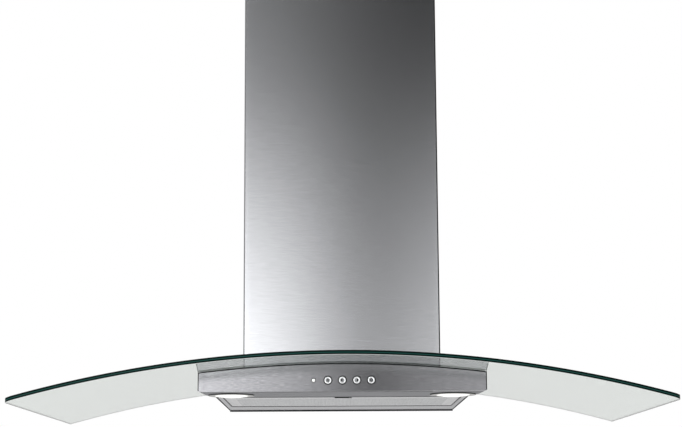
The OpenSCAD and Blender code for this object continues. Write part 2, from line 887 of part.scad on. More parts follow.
module motor_box() {
  half = box_w / 2;
  color("#b4b8ba") difference() {
    union() {
      foot_cut(flange_r)
        block([-half, box_front, box_floor - 2 * glass_t], [half, box_back, box_top]);
      arch_sheet(flange_r, flange_r + box_t) flange_outline();
    }
    block([-half + box_t, box_front + box_t, box_floor - 4 * glass_t],
      [half - box_t, box_back - box_t, box_top - box_t]);
    block([-scroll_half, blower_y - scroll_end, box_top - box_t - over],
      [scroll_half, blower_y - tongue_y, box_top + over]);
    screw_holes(screw_r + loose);
    for (p = adaptor_screw_xy) translate([p[0], p[1], box_top - 2 * box_t])
      cylinder(r = adaptor_screw_r + loose, h = 3 * box_t);
  }
}

module wall_plate() {
  color("#a7abad") difference() {
    block([-wall_plate_w / 2, -wall_plate_t, -wall_plate_h / 2],
      [wall_plate_w / 2, 0, wall_plate_h / 2]);
    for (x = [-1, 1], z = [-1, 1])
      along_y(x * wall_hole_x / 2, z * wall_hole_z / 2, -wall_plate_t - over, over, wall_hole_r);
  }
}

module glass_screws() {
  color("#8d9194") at_screws(flange_r + box_t) {
    translate([0, 0, run_fit]) cylinder(r = screw_head_r, h = screw_head_h);
    translate([0, 0, -screw_l]) cylinder(r = screw_r, h = screw_l + screw_head_h / 2);
  }
}

module glass_nuts() {
  color("#8d9194") at_screws(pan_top_r - sheet_t - nut_h - loose) difference() {
    cylinder(r = nut_r, h = nut_h, $fn = 6);
    translate([0, 0, -over]) cylinder(r = screw_r + run_fit, h = nut_h + 2 * over);
  }
}

module glass_bushes() {
  color("#e4e4dc") at_screws(arch_r) difference() {
    cylinder(r = glass_hole_r - loose, h = glass_t);
    translate([0, 0, -over]) cylinder(r = screw_r + loose, h = glass_t + 2 * over);
  }
}

// The scroll's outline in the Y-Z plane, grown by a wall and cut off at a given height
module scroll_area(wall, top) {
  tip = asin((tongue_y - wall) / (scroll_r0 + wall));
  steps = 48;
  polygon(concat(
    [[blower_y - scroll_end - wall, top]],
    [for (i = [0:steps])
      let (t = scroll_turn - (scroll_turn + tip) * i / steps, r = scroll_at(t) + wall)
      [blower_y + r * sin(t), blower_z + r * cos(t)]],
    [[blower_y - tongue_y + wall, top]]
  ));
}

module across(x0, x1) {
  translate([x0, 0, 0]) rotate([90, 0, 90]) linear_extrude(x1 - x0) children();
}

module scroll_shell() {
  color("#26282a") across(-scroll_half, scroll_half) difference() {
    scroll_area(scroll_t, scroll_top);
    scroll_area(0, scroll_top + over);
  }
}

module scroll_cheek(s) {
  inner = s * scroll_half;
  outer = s * (scroll_half + cheek_t);
  rim = s * (scroll_half + cheek_t + inlet_rim_l);
  color("#2d2f31") difference() {
    union() {
      across(min(inner, outer), max(inner, outer)) scroll_area(scroll_t, scroll_top);
      along_x(blower_y, blower_z, min(inner, rim), max(inner, rim), inlet_r + inlet_rim_t);
    }
    along_x(blower_y, blower_z, -box_w / 2, box_w / 2, inlet_r);
  }
}

module scroll_cheek_left() { scroll_cheek(-1); }
module scroll_cheek_right() { scroll_cheek(1); }

module impeller() {
  half = impeller_w / 2;
  ring_in = impeller_r - blade_l - 1;
  color("#3c3f41") translate([0, blower_y, blower_z]) difference() {
    union() {
      for (x = [-half, half - ring_t]) translate([x, 0, 0]) rotate([0, 90, 0]) difference() {
        cylinder(r = impeller_r, h = ring_t);
        translate([0, 0, -over]) cylinder(r = ring_in, h = ring_t + 2 * over);
      }
      for (i = [0:blade_n - 1]) rotate([i * 360 / blade_n, 0, 0])
        translate([-half + ring_t / 2, impeller_r - blade_l, 0]) rotate([blade_deg, 0, 0])
          cube([impeller_w - ring_t, blade_l, blade_t]);
      along_x(0, 0, -ring_t / 2, ring_t / 2, impeller_r);
      along_x(0, 0, hub_shift - hub_l / 2, hub_shift + hub_l / 2, hub_r);
    }
    along_x(0, 0, -half, half, shaft_r + run_fit);
  }
}

module motor_shaft() {
  color("#9a9da0") along_x(blower_y, blower_z, can_rear + can_t + seat, shaft_front, shaft_r);
}

module rotor() {
  color("#6f7376") difference() {
    along_x(blower_y, blower_z, core_rear, core_front, rotor_r);
    along_x(blower_y, blower_z, core_rear - over, core_front + over, shaft_r + run_fit);
  }
}

module stator() {
  color("#9a5b33") difference() {
    along_x(blower_y, blower_z, core_rear, core_front, motor_r - can_t - seat);
    along_x(blower_y, blower_z, core_rear - over, core_front + over, rotor_r + 2 * seat);
  }
}

module motor_can() {
  seat_r = bearing_r + run_fit;
  color("#b9bcbd") difference() {
    along_x(blower_y, blower_z, can_rear, can_front, motor_r);
    difference() {
      along_x(blower_y, blower_z, can_rear + can_t, can_front - can_t, motor_r - can_t);
      along_x(blower_y, blower_z, can_rear, can_rear + can_t + bearing_w, bearing_r + bearing_wall);
      along_x(blower_y, blower_z, can_front - can_t - bearing_w, can_front,
        bearing_r + bearing_wall);
    }
    along_x(blower_y, blower_z, can_rear + can_t, can_front - can_t, seat_r);
    along_x(blower_y, blower_z, can_rear + can_t, can_front + over, shaft_r + shaft_gap);
  }
}

module motor_bearings() {
  rear = can_rear + can_t + seat;
  front = can_front - can_t - seat - bearing_w;
  color("#a2a5a7") for (x = [rear, front]) difference() {
    along_x(blower_y, blower_z, x, x + bearing_w, bearing_r);
    along_x(blower_y, blower_z, x - over, x + bearing_w + over, shaft_r + run_fit);
  }
}

module motor_bracket() {
  color("#a9adaf") difference() {
    union() {
      along_x(blower_y, blower_z, bracket_x - arm_t, bracket_x, bracket_hub_r);
      for (a = [0, 120, 240]) translate([0, blower_y, blower_z]) rotate([a, 0, 0]) {
        block([bracket_x - arm_t, -arm_w / 2, 0], [bracket_x, arm_w / 2, bush_at]);
        along_x(0, bush_at, bracket_x - arm_t, bracket_x, arm_w / 2);
      }
    }
    along_x(blower_y, blower_z, bracket_x - arm_t - over, bracket_x + over, bearing_r);
  }
}

module motor_bushes() {
  color("#1d1f20") for (a = [0, 120, 240]) translate([0, blower_y, blower_z]) rotate([a, 0, 0])
    along_x(0, bush_at, bracket_x, bracket_x + bush_l, bush_r);
}

module adaptor_rect(grow) {
  half = [adaptor_x + grow, adaptor_y + grow];
  rounded_rect(-half[0], half[0], -spigot_y - half[1], -spigot_y + half[1], adaptor_corner_r + grow);
}

module outlet_adaptor() {
  color("#303234") difference() {
    union() {
      translate([0, 0, box_top]) linear_extrude(adaptor_h) adaptor_rect(0);
      translate([0, 0, box_top]) linear_extrude(adaptor_t) adaptor_rect(adaptor_flange);
      translate([0, -spigot_y, adaptor_top - adaptor_t])
        cylinder(r = spigot_r, h = spigot_h + adaptor_t);
    }
    translate([0, 0, box_top - over])
      linear_extrude(adaptor_h - adaptor_t + over) adaptor_rect(-adaptor_t);
    translate([0, -spigot_y, box_top]) cylinder(r = spigot_in - ledge_w, h = adaptor_h + over);
    translate([0, -spigot_y, adaptor_top]) cylinder(r = spigot_in, h = spigot_h + over);
    along_x(-spigot_y, pin_z, -spigot_r - over, spigot_r + over, damper_pin_r + run_fit);
    for (p = adaptor_screw_xy) translate([p[0], p[1], box_top - over])
      cylinder(r = adaptor_screw_r + loose, h = adaptor_t + 2 * over);
  }
}

module adaptor_screws() {
  color("#8d9194") for (p = adaptor_screw_xy) translate([p[0], p[1], box_top + adaptor_t]) {
    cylinder(r = adaptor_head_r, h = adaptor_head_h);
    translate([0, 0, -adaptor_screw_l]) cylinder(r = adaptor_screw_r, h = adaptor_screw_l + over);
  }
}

module damper_pin() {
  half = spigot_r - pin_end;
  color("#b8bbbd") along_x(-spigot_y, pin_z, -half, half, damper_pin_r);
}

module damper_flap(s, knuckles) {
  low = pin_z - knuckle_r;
  color("#d5d7d8") difference() {
    union() {
      translate([0, -spigot_y, low]) linear_extrude(flap_t) intersection() {
        circle(flap_r);
        translate([-flap_r, s > 0 ? flap_from : -flap_r]) square([2 * flap_r, flap_r - flap_from]);
      }
      for (k = knuckles) {
        along_x(-spigot_y, pin_z, k[0], k[1], knuckle_r);
        block([k[0], -spigot_y + min(0, s * (flap_from + over)), low],
          [k[1], -spigot_y + max(0, s * (flap_from + over)), low + flap_t]);
      }
    }
    along_x(-spigot_y, pin_z, -spigot_r, spigot_r, damper_pin_r + run_fit);
  }
}

module damper_flap_front() {
  damper_flap(-1, [[-knuckle_end, -knuckle_mid - loose], [knuckle_mid + loose, knuckle_end]]);
}

module damper_flap_rear() { damper_flap(1, [[-knuckle_mid, knuckle_mid]]); }

// A sheet bent to a U in plan, with folds along its two rear edges
module chimney_plan(half, front, back) {
  difference() {
    translate([-half, front]) square([2 * half, back - front]);
    translate([-half + chimney_t, front + chimney_t])
      square([2 * (half - chimney_t), back - front - 2 * chimney_t]);
    translate([-half + fold_w, back - 2 * chimney_t])
      square([2 * (half - fold_w), 3 * chimney_t]);
  }
}

module lower_chimney() {
  z = box_floor - 2 * glass_t;
  color("#c7c9ca") foot_cut(lower_foot_r) translate([0, 0, z])
    linear_extrude(lower_top - z) chimney_plan(chimney_w / 2, -chimney_d, 0);
}

module vent_slots() {
  mid = (upper_front + upper_back) / 2;
  for (i = [0:vent_n - 1]) {
    z = vent_top - i * vent_pitch;
    block([-chimney_w, mid - vent_l / 2, z - vent_h / 2],
      [chimney_w, mid + vent_l / 2, z + vent_h / 2]);
    for (y = [-vent_l / 2, vent_l / 2])
      along_x(mid + y, z, -chimney_w, chimney_w, vent_h / 2);
  }
}

module upper_chimney() {
  z = box_floor - 2 * glass_t;
  color("#bfc1c2") difference() {
    foot_cut(upper_foot_r) translate([0, 0, z])
      linear_extrude(upper_top - z) chimney_plan(upper_half, upper_front, upper_back);
    vent_slots();
    along_x(-chimney_screw_y, chimney_screw_z, -chimney_w, chimney_w, chimney_screw_r + seat);
  }
}

module chimney_bracket() {
  low = bracket_top - bracket_h;
  lug_out = upper_half - chimney_t - seat;
  color("#a7abad") difference() {
    union() {
      block([-bracket_half, -bracket_t, low], [bracket_half, 0, bracket_top]);
      for (m = [0, 1]) mirror([m, 0, 0]) {
        block([bracket_half - bracket_t, -bracket_arm, low], [bracket_half, 0, bracket_top]);
        block([bracket_half - bracket_t, -bracket_arm, low],
          [lug_out, -bracket_arm + bracket_t, bracket_top]);
        block([lug_out - bracket_t, -bracket_arm - lug_l, low],
          [lug_out, -bracket_arm + bracket_t, bracket_top]);
      }
    }
    for (s = [-1, 1]) along_y(s * bracket_hole_x / 2, bracket_hole_z, -bracket_t - over, over,
      wall_hole_r);
    along_x(-chimney_screw_y, chimney_screw_z, -chimney_w, chimney_w, chimney_screw_r + seat);
  }
}

module chimney_screws() {
  color("#8d9194") for (m = [0, 1]) mirror([m, 0, 0]) {
    along_x(-chimney_screw_y, chimney_screw_z, upper_half, upper_half + chimney_head_h,
      2 * chimney_screw_r);
    along_x(-chimney_screw_y, chimney_screw_z, upper_half - chimney_screw_l, upper_half + over,
      chimney_screw_r);
  }
}

module junction_box() {
  half = junction_d / 2;
  wall = lid_t;
  color("#4a4d50") difference() {
    block([junction_x, junction_y - half, junction_z],
      [junction_x + junction_t, junction_y + half, junction_z + junction_h]);
    block([junction_x + wall, junction_y - half + wall, junction_z + wall],
      [junction_x + junction_t + over, junction_y + half - wall, junction_z + junction_h - wall]);
    translate([gland_x, junction_y, junction_z + junction_h - 2 * wall])
      cylinder(r = gland_thread_r + loose, h = 3 * wall);
  }
}

module junction_lid() {
  half = junction_d / 2;
  x = junction_x + junction_t;
  rim = lid_t + loose;
  color("#55585b") difference() {
    union() {
      block([x, junction_y - half, junction_z], [x + lid_t, junction_y + half, junction_z + junction_h]);
      block([x - lid_t, junction_y - half + rim, junction_z + rim],
        [x + over, junction_y + half - rim, junction_z + junction_h - rim]);
    }
    block([x - lid_t - over, junction_y - half + 2 * rim, junction_z + 2 * rim],
      [x, junction_y + half - 2 * rim, junction_z + junction_h - 2 * rim]);
  }
}

module terminal_block() {
  x = junction_x + lid_t;
  z = junction_z + terminal_z;
  pitch = terminal_l / terminal_n;
  color("#e6e3da") difference() {
    block([x, junction_y - terminal_l / 2, z],
      [x + terminal_d, junction_y + terminal_l / 2, z + terminal_h]);
    for (i = [0:terminal_n - 1])
      translate([x + terminal_d / 2, junction_y + (i - (terminal_n - 1) / 2) * pitch, z - over])
        cylinder(r = terminal_hole_r, h = terminal_h + 2 * over);
  }
}

module cable_gland() {
  wall_z = junction_z + junction_h;
  color("#24262a") translate([gland_x, junction_y, 0]) {
    difference() {
      union() {
        translate([0, 0, gland_low]) cylinder(r = gland_thread_r, h = wall_z - gland_low + over);
        translate([0, 0, wall_z]) cylinder(r = gland_thread_r + gland_hex_w, h = gland_hex_h, $fn = 6);
        translate([0, 0, wall_z + gland_hex_h - over])
          cylinder(r = gland_thread_r + gland_cap_w, h = gland_top - wall_z - gland_hex_h + over);
      }
      translate([0, 0, gland_low - over])
        cylinder(r = gland_bore_r, h = gland_top - gland_low + 2 * over);
    }
    translate([0, 0, wall_z - lid_t - nut_hex_h]) difference() {
      cylinder(r = gland_thread_r + nut_hex_w, h = nut_hex_h, $fn = 6);
      translate([0, 0, -over]) cylinder(r = gland_thread_r + run_fit, h = nut_hex_h + 2 * over);
    }
  }
}

module capacitor() {
  color("#d9dadb") translate([capacitor_x, box_mid, capacitor_z]) {
    cylinder(r = capacitor_r, h = capacitor_h);
    for (x = [-tab_x, tab_x]) translate([x - tab_size[0] / 2, -tab_size[1] / 2, capacitor_h - over])
      cube(tab_size + [0, 0, over]);
  }
}

module capacitor_clip() {
  r = capacitor_r + loose;
  z = capacitor_z + capacitor_h / 2 - clip_h / 2;
  color("#3a3c3e") difference() {
    union() {
      translate([capacitor_x, box_mid, z]) cylinder(r = r + clip_t, h = clip_h);
      block([capacitor_x, box_mid - clip_w / 2, z], [-box_w / 2, box_mid + clip_w / 2, z + clip_h]);
    }
    translate([capacitor_x, box_mid, z - over]) cylinder(r = r, h = clip_h + 2 * over);
  }
}

glass_canopy();
body_seal();
motor_seal();
chimney_trim();
body_pan();
panel_carrier();
front_panel();
indicator();
switch_module();
switch_board();
button_1();
button_2();
button_3();
button_4();
lamp_rim_left();
lamp_rim_right();
lamp_lens_left();
lamp_lens_right();
lamp_cup_left();
lamp_cup_right();
lamp_socket_left();
lamp_socket_right();
bulb_left();
bulb_right();
lamp_transformer();
filter_frame();
filter_mesh();
filter_latch();
latch_spring();
motor_box();
wall_plate();
glass_screws();
glass_nuts();
glass_bushes();
scroll_shell();
scroll_cheek_left();
scroll_cheek_right();
impeller();
motor_shaft();
rotor();
stator();
motor_can();
motor_bearings();
motor_bracket();
motor_bushes();
outlet_adaptor();
adaptor_screws();
damper_pin();
damper_flap_front();
damper_flap_rear();
lower_chimney();
upper_chimney();
chimney_bracket();
chimney_screws();
junction_box();
junction_lid();
terminal_block();
cable_gland();
capacitor();
capacitor_clip();
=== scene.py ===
"""Finish of a wall-mounted range hood: arched glass canopy, low steel body, telescoping chimney.

Lengths are millimetres in the frame's own axes: +Z is up, the front faces -Y, the wall is the plane
Y = 0 and the origin is the centre of the wall-fixing holes. MM turns them to Blender's metres.
"""

import json
import logging
import math
from dataclasses import dataclass, field
from enum import Enum
from typing import Sequence

import bmesh
import bpy
from mathutils import Matrix, Vector


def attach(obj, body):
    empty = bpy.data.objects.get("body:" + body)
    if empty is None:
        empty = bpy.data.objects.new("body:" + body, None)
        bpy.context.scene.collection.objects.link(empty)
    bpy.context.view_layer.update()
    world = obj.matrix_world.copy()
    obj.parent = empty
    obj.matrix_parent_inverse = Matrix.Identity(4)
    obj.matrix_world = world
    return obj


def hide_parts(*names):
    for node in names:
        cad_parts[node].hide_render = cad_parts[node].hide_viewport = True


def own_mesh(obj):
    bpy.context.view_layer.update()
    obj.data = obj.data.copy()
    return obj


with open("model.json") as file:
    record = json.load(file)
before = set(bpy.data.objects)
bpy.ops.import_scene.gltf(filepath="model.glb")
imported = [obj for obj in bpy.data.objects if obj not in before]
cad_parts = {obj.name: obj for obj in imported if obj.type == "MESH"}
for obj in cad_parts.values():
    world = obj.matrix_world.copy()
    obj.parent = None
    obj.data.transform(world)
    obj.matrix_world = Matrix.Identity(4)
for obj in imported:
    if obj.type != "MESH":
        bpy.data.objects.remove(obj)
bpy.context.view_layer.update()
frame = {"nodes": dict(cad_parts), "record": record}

MM = 0.001
# Index of refraction of float glass, taken for every glass here
GLASS_IOR = 1.52
# Where most of a noise's values lie
NOISE_RANGE = (0.3, 0.7)
# Doubled points lie closer than this, and faces within this angle count as one
WELD = 0.002
FLATNESS = 0.4
LOG = logging.getLogger("range_hood")

Plan = tuple[float, float]
Point = tuple[float, float, float]
Colour = tuple[float, float, float, float]


def linear(hex_colour: str) -> Colour:
    """Turn an sRGB colour to linear light.

    Args:
        hex_colour: The colour as "#rrggbb".

    Returns:
        Red, green, blue and full alpha.
    """
    parts = [int(hex_colour[i:i + 2], 16) / 255 for i in (1, 3, 5)]
    red, green, blue = [p / 12.92 if p <= 0.04045 else ((p + 0.055) / 1.055) ** 2.4 for p in parts]
    return red, green, blue, 1.0


def feed(tree: bpy.types.NodeTree, node: bpy.types.Node, inputs: dict) -> None:
    """Set or link a node's inputs.

    Args:
        tree: The shader or geometry tree.
        node: A node of it.
        inputs: What goes into its sockets, by name or number: a value, an output, or a node for its first.
    """
    for key, value in inputs.items():
        source = value.outputs[0] if isinstance(value, bpy.types.Node) else value
        if isinstance(source, bpy.types.NodeSocket):
            tree.links.new(source, node.inputs[key])
        else:
            node.inputs[key].default_value = source


def add(tree: bpy.types.NodeTree, kind: str, inputs: dict | None = None, **settings) -> bpy.types.Node:
    """Add a node with its settings and links.

    Args:
        tree: The shader or geometry tree.
        kind: The node's type name.
        inputs: What goes into its sockets, as feed takes it.
        settings: The node's own properties.

    Returns:
        The new node.
    """
    node = tree.nodes.new(kind)
    for name, value in settings.items():
        setattr(node, name, value)
    feed(tree, node, inputs or {})
    return node


def linked(name: str, data: bpy.types.ID) -> bpy.types.Object:
    """Make an object in the scene.

    Args:
        name: The object's name.
        data: Its mesh, camera or light.

    Returns:
        The new object.
    """
    made = bpy.data.objects.new(name, data)
    bpy.context.scene.collection.objects.link(made)
    return made


# Finishes


class Grain(Enum):
    """The way in which a sheet was brushed."""

    LEVEL = "level, round the upright faces"
    ACROSS = "from side to side, on the level faces"


@dataclass(frozen=True)
class Finish:
    """What every finish has: the name of the real material."""

    name: str

    def start(self) -> tuple[bpy.types.Material, bpy.types.NodeTree, bpy.types.Node]:
        """Make the material.

        Returns:
            The material, its tree and its Principled shader.
        """
        material = bpy.data.materials.new(self.name)
        material.use_nodes = True
        tree = material.node_tree
        return material, tree, tree.nodes["Principled BSDF"]

    def pattern_place(self, tree: bpy.types.NodeTree, size: Point) -> bpy.types.Node:
        """Count Object coordinates in pattern sizes.

        Args:
            tree: The material's tree.
            size: The pattern's size along each axis, in millimetres.

        Returns:
            The node whose output is the place in the pattern.
        """
        here = add(tree, "ShaderNodeTexCoord")
        scale = [1 / (length * MM) for length in size]
        return add(tree, "ShaderNodeMapping", {"Vector": here.outputs["Object"], "Scale": scale})

    def skin(self, tree: bpy.types.NodeTree, shader: bpy.types.Node, pattern: bpy.types.NodeSocket,
             colours: tuple[str, str], depth: float, strength: float = 1.0) -> None:
        """Let a pattern shade the colour and raise the surface.

        Args:
            tree: The material's tree.
            shader: Its Principled shader.
            pattern: The pattern's value.
            colours: The dark and the light colour.
            depth: How deep the pattern's full range is, in millimetres.
            strength: How much of that depth shows.
        """
        ramp = add(tree, "ShaderNodeValToRGB", {0: pattern})
        for element, place, colour in zip(ramp.color_ramp.elements, NOISE_RANGE, colours):
            element.position, element.color = place, linear(colour)
        bump = add(tree, "ShaderNodeBump", {"Height": pattern, "Distance": depth * MM, "Strength": strength})
        feed(tree, shader, {"Base Color": ramp, "Normal": bump})


@dataclass(frozen=True)
class BrushedSteel(Finish):
    """Stainless sheet, belt brushed: fine parallel scratches that smear every highlight across them."""

    dark: str
    light: str
    roughness: float
    anisotropy: float
    grain: Grain
    # Share of light kept at a flat angle, where belt scratches shade each other
    flat_angle: str = "#ffffff"
    # Real scratches are about 0.2 mm apart, too fine to show, so bands of them are drawn
    band: float = 1.0
    streak: float = 45.0
    unevenness: float = 0.14
    scratch_depth: float = 0.0004
    detail: float = 4.0
    raggedness: float = 0.65
    # Where the grain is level: how far the highlight is turned from the tangent, as a share of a turn
    level_turn: float = 0.25

    def build(self) -> bpy.types.Material:
        """Make the material, with its scratches along the way it was brushed.

        Returns:
            The material.
        """
        material, tree, shader = self.start()
        level = self.grain is Grain.LEVEL
        place = self.pattern_place(tree, (self.streak, self.streak if level else self.band, self.band))
        scratches = add(tree, "ShaderNodeTexNoise", {"Vector": place, "Scale": 1.0, "Detail": self.detail,
                                                     "Roughness": self.raggedness}).outputs[0]
        spread = add(tree, "ShaderNodeMapRange", {0: scratches, 1: NOISE_RANGE[0], 2: NOISE_RANGE[1],
                                                  3: self.roughness * (1 - self.unevenness),
                                                  4: self.roughness * (1 + self.unevenness)})
        tangent = add(tree, "ShaderNodeTangent", direction_type="RADIAL", axis="Z" if level else "X")
        feed(tree, shader, {"Metallic": 1.0, "Anisotropic": self.anisotropy, "Tangent": tangent,
                            "Anisotropic Rotation": self.level_turn if level else 0.0,
                            "Specular Tint": linear(self.flat_angle), "Roughness": spread})
        self.skin(tree, shader, scratches, (self.dark, self.light), self.scratch_depth)
        return material


@dataclass(frozen=True)
class SheetMetal(Finish):
    """Plated, pressed or cast metal: a satin skin with soft patches, and crystals where it is zinc."""

    dark: str
    light: str
    roughness: float
    patch: float
    crystals: bool = False
    depth: float = 0.01
    unevenness: float = 0.15
    detail: float = 5.0
    relief: float = 0.5

    def build(self) -> bpy.types.Material:
        """Make the material.

        Returns:
            The material.
        """
        material, tree, shader = self.start()
        place = self.pattern_place(tree, (self.patch,) * 3)
        if self.crystals:
            cells = add(tree, "ShaderNodeTexVoronoi", {"Vector": place, "Scale": 1.0})
            patches = add(tree, "ShaderNodeSeparateColor", {0: cells.outputs["Color"]}).outputs[0]
        else:
            patches = add(tree, "ShaderNodeTexNoise", {"Vector": place, "Scale": 1.0,
                                                       "Detail": self.detail}).outputs[0]
        spread = add(tree, "ShaderNodeMapRange", {0: patches, 3: self.roughness * (1 - self.unevenness),
                                                  4: self.roughness * (1 + self.unevenness)})
        feed(tree, shader, {"Metallic": 1.0, "Roughness": spread})
        self.skin(tree, shader, patches, (self.dark, self.light), self.depth, self.relief)
        return material


@dataclass(frozen=True)
class Moulded(Finish):
    """Moulded plastic, rubber or glazed ceramic: an even colour with the mould's fine grit in it."""

    dark: str
    light: str
    roughness: float
    grit: float
    depth: float
    coat: float = 0.0
    shine: float = 0.5
    unevenness: float = 0.1
    detail: float = 3.0

    def build(self) -> bpy.types.Material:
        """Make the material.

        Returns:
            The material.
        """
        material, tree, shader = self.start()
        place = self.pattern_place(tree, (self.grit,) * 3)
        grain = add(tree, "ShaderNodeTexNoise", {"Vector": place, "Scale": 1.0,
                                                 "Detail": self.detail}).outputs[0]
        spread = add(tree, "ShaderNodeMapRange", {0: grain, 3: self.roughness * (1 - self.unevenness),
                                                  4: self.roughness * (1 + self.unevenness)})
        feed(tree, shader, {"Coat Weight": self.coat, "Specular IOR Level": self.shine,
                            "Roughness": spread})
        self.skin(tree, shader, grain, (self.dark, self.light), self.depth)
        return material


@dataclass(frozen=True)
class ClearGlass(Finish):
    """Float or capsule glass: it lets light through and mirrors more the flatter it is seen."""

    tint: str
    roughness: float = 0.0
    haze: float = 0.0
    glow: float = 0.0

    def build(self) -> bpy.types.Material:
        """Make the material, which tints its shadow instead of blocking the light.

        Returns:
            The material.
        """
        material, tree, shader = self.start()
        feed(tree, shader, {"Base Color": linear(self.tint), "Roughness": self.roughness, "IOR": GLASS_IOR,
                            "Transmission Weight": 1.0 - self.haze, "Emission Strength": self.glow})
        path = add(tree, "ShaderNodeLightPath")
        clear = add(tree, "ShaderNodeBsdfTransparent", {"Color": linear(self.tint)})
        mix = add(tree, "ShaderNodeMixShader", {0: path.outputs["Is Shadow Ray"], 1: shader, 2: clear})
        feed(tree, tree.nodes["Material Output"], {"Surface": mix})
        return material


@dataclass(frozen=True)
class PolishedEdge(Finish):
    """Ground and polished edge of float glass: light that runs along the sheet comes out dark green."""

    deep: str
    middle: str
    # Pale colour of the underside's arris: a painted highlight
    arris: str
    arch_z: float
    under_r: float
    thickness: float
    roughness: float = 0.12
    shine: float = 0.04

    def build(self) -> bpy.types.Material:
        """Make the material, whose colours run across the edge from the underside to the top.

        Returns:
            The material.
        """
        material, tree, shader = self.start()
        here = add(tree, "ShaderNodeTexCoord")
        parts = add(tree, "ShaderNodeSeparateXYZ", {0: here.outputs["Object"]})
        rise = add(tree, "ShaderNodeMath", {0: parts.outputs[2], 1: -self.arch_z * MM}, operation="ADD")
        arm = add(tree, "ShaderNodeCombineXYZ", {0: parts.outputs[0], 1: 0.0, 2: rise})
        length = add(tree, "ShaderNodeVectorMath", {0: arm}, operation="LENGTH")
        share = add(tree, "ShaderNodeMapRange", {0: length.outputs["Value"], 1: self.under_r * MM,
                                                 2: (self.under_r + self.thickness) * MM})
        ramp = add(tree, "ShaderNodeValToRGB", {0: share})
        # A painted highlight on the pale arris at the underside, then deep green with a lighter band in the
        # middle: painted light that runs along the sheet
        stops = [(0.0, self.arris), (0.03, self.arris), (0.07, self.deep), (0.36, self.deep),
                 (0.5, self.middle), (0.64, self.deep)]
        elements = ramp.color_ramp.elements
        while len(elements) < len(stops):
            elements.new(1.0)
        for element, (position, colour) in zip(elements, stops):
            element.position, element.color = position, linear(colour)
        feed(tree, shader, {"Base Color": ramp, "Roughness": self.roughness, "IOR": GLASS_IOR,
                            "Specular IOR Level": self.shine})
        return material


@dataclass(frozen=True)
class WoundWire(Finish):
    """Enamelled copper wire, wound close: fine ridges round the motor's axis."""

    dark: str
    light: str
    wire: float = 1.1
    ridge: float = 0.25
    wander: float = 1.5
    enamelled: float = 0.8
    roughness: float = 0.35

    def build(self) -> bpy.types.Material:
        """Make the material.

        Returns:
            The material.
        """
        material, tree, shader = self.start()
        place = self.pattern_place(tree, (self.wire,) * 3)
        ridges = add(tree, "ShaderNodeTexWave", {"Vector": place, "Scale": 1.0, "Distortion": self.wander},
                     bands_direction="X").outputs[1]
        feed(tree, shader, {"Metallic": self.enamelled, "Roughness": self.roughness})
        self.skin(tree, shader, ridges, (self.dark, self.light), self.ridge)
        return material


# Mesh tools


def baked(holder: bpy.types.Object, name: str, flat: bool = False) -> bpy.types.Mesh:
    """Turn an object with its modifiers into a plain mesh and remove the object.

    Args:
        holder: The object, already in the scene.
        name: The new mesh's name.
        flat: Whether large faces keep a flat shade right up to their rounded edges.

    Returns:
        The evaluated mesh.
    """
    if flat:
        holder.modifiers.new("flat_faces", "WEIGHTED_NORMAL").keep_sharp = True
    bpy.context.view_layer.update()
    graph = bpy.context.evaluated_depsgraph_get()
    mesh = bpy.data.meshes.new_from_object(holder.evaluated_get(graph))
    mesh.name = name
    bpy.data.objects.remove(holder)
    return mesh


def arc(centre: Plan, radius: float, start: float, end: float, steps: int) -> list[Plan]:
    """Return points on an arc, from one angle to another in degrees, both ends included."""
    angles = [math.radians(start + (end - start) * i / steps) for i in range(steps + 1)]
    return [(centre[0] + radius * math.cos(a), centre[1] + radius * math.sin(a)) for a in angles]


def circle(centre: Plan, radius: float, steps: int = 48) -> list[Plan]:
    """Return points on a whole circle."""
    return arc(centre, radius, 0, 360, steps)[:-1]


def rectangle(low: Plan, high: Plan) -> list[Plan]:
    """Return the outline of a rectangle, from its lower left corner."""
    return [low, (high[0], low[1]), high, (low[0], high[1])]


def upright(x: float, y: float, z: float) -> Matrix:
    """Return the place of a plate that stands upright, with its rear at y and its thickness toward -Y."""
    return Matrix(((1, 0, 0, x), (0, 0, -1, y), (0, 1, 0, z), (0, 0, 0, 1)))


def rounded_box(low: Plan, high: Plan, radius: float, steps: int = 8) -> list[Plan]:
    """Outline a rectangle with round corners.

    Args:
        low: Its lower left corner.
        high: Its upper right corner.
        radius: The corners' radius.
        steps: How many steps make a corner.

    Returns:
        The outline.
    """
    (x0, y0), (x1, y1), r = low, high, radius
    corners = [((x1 - r, y1 - r), 0), ((x0 + r, y1 - r), 90), ((x0 + r, y0 + r), 180),
               ((x1 - r, y0 + r), 270)]
    return [p for centre, start in corners for p in arc(centre, r, start, start + 90, steps)]


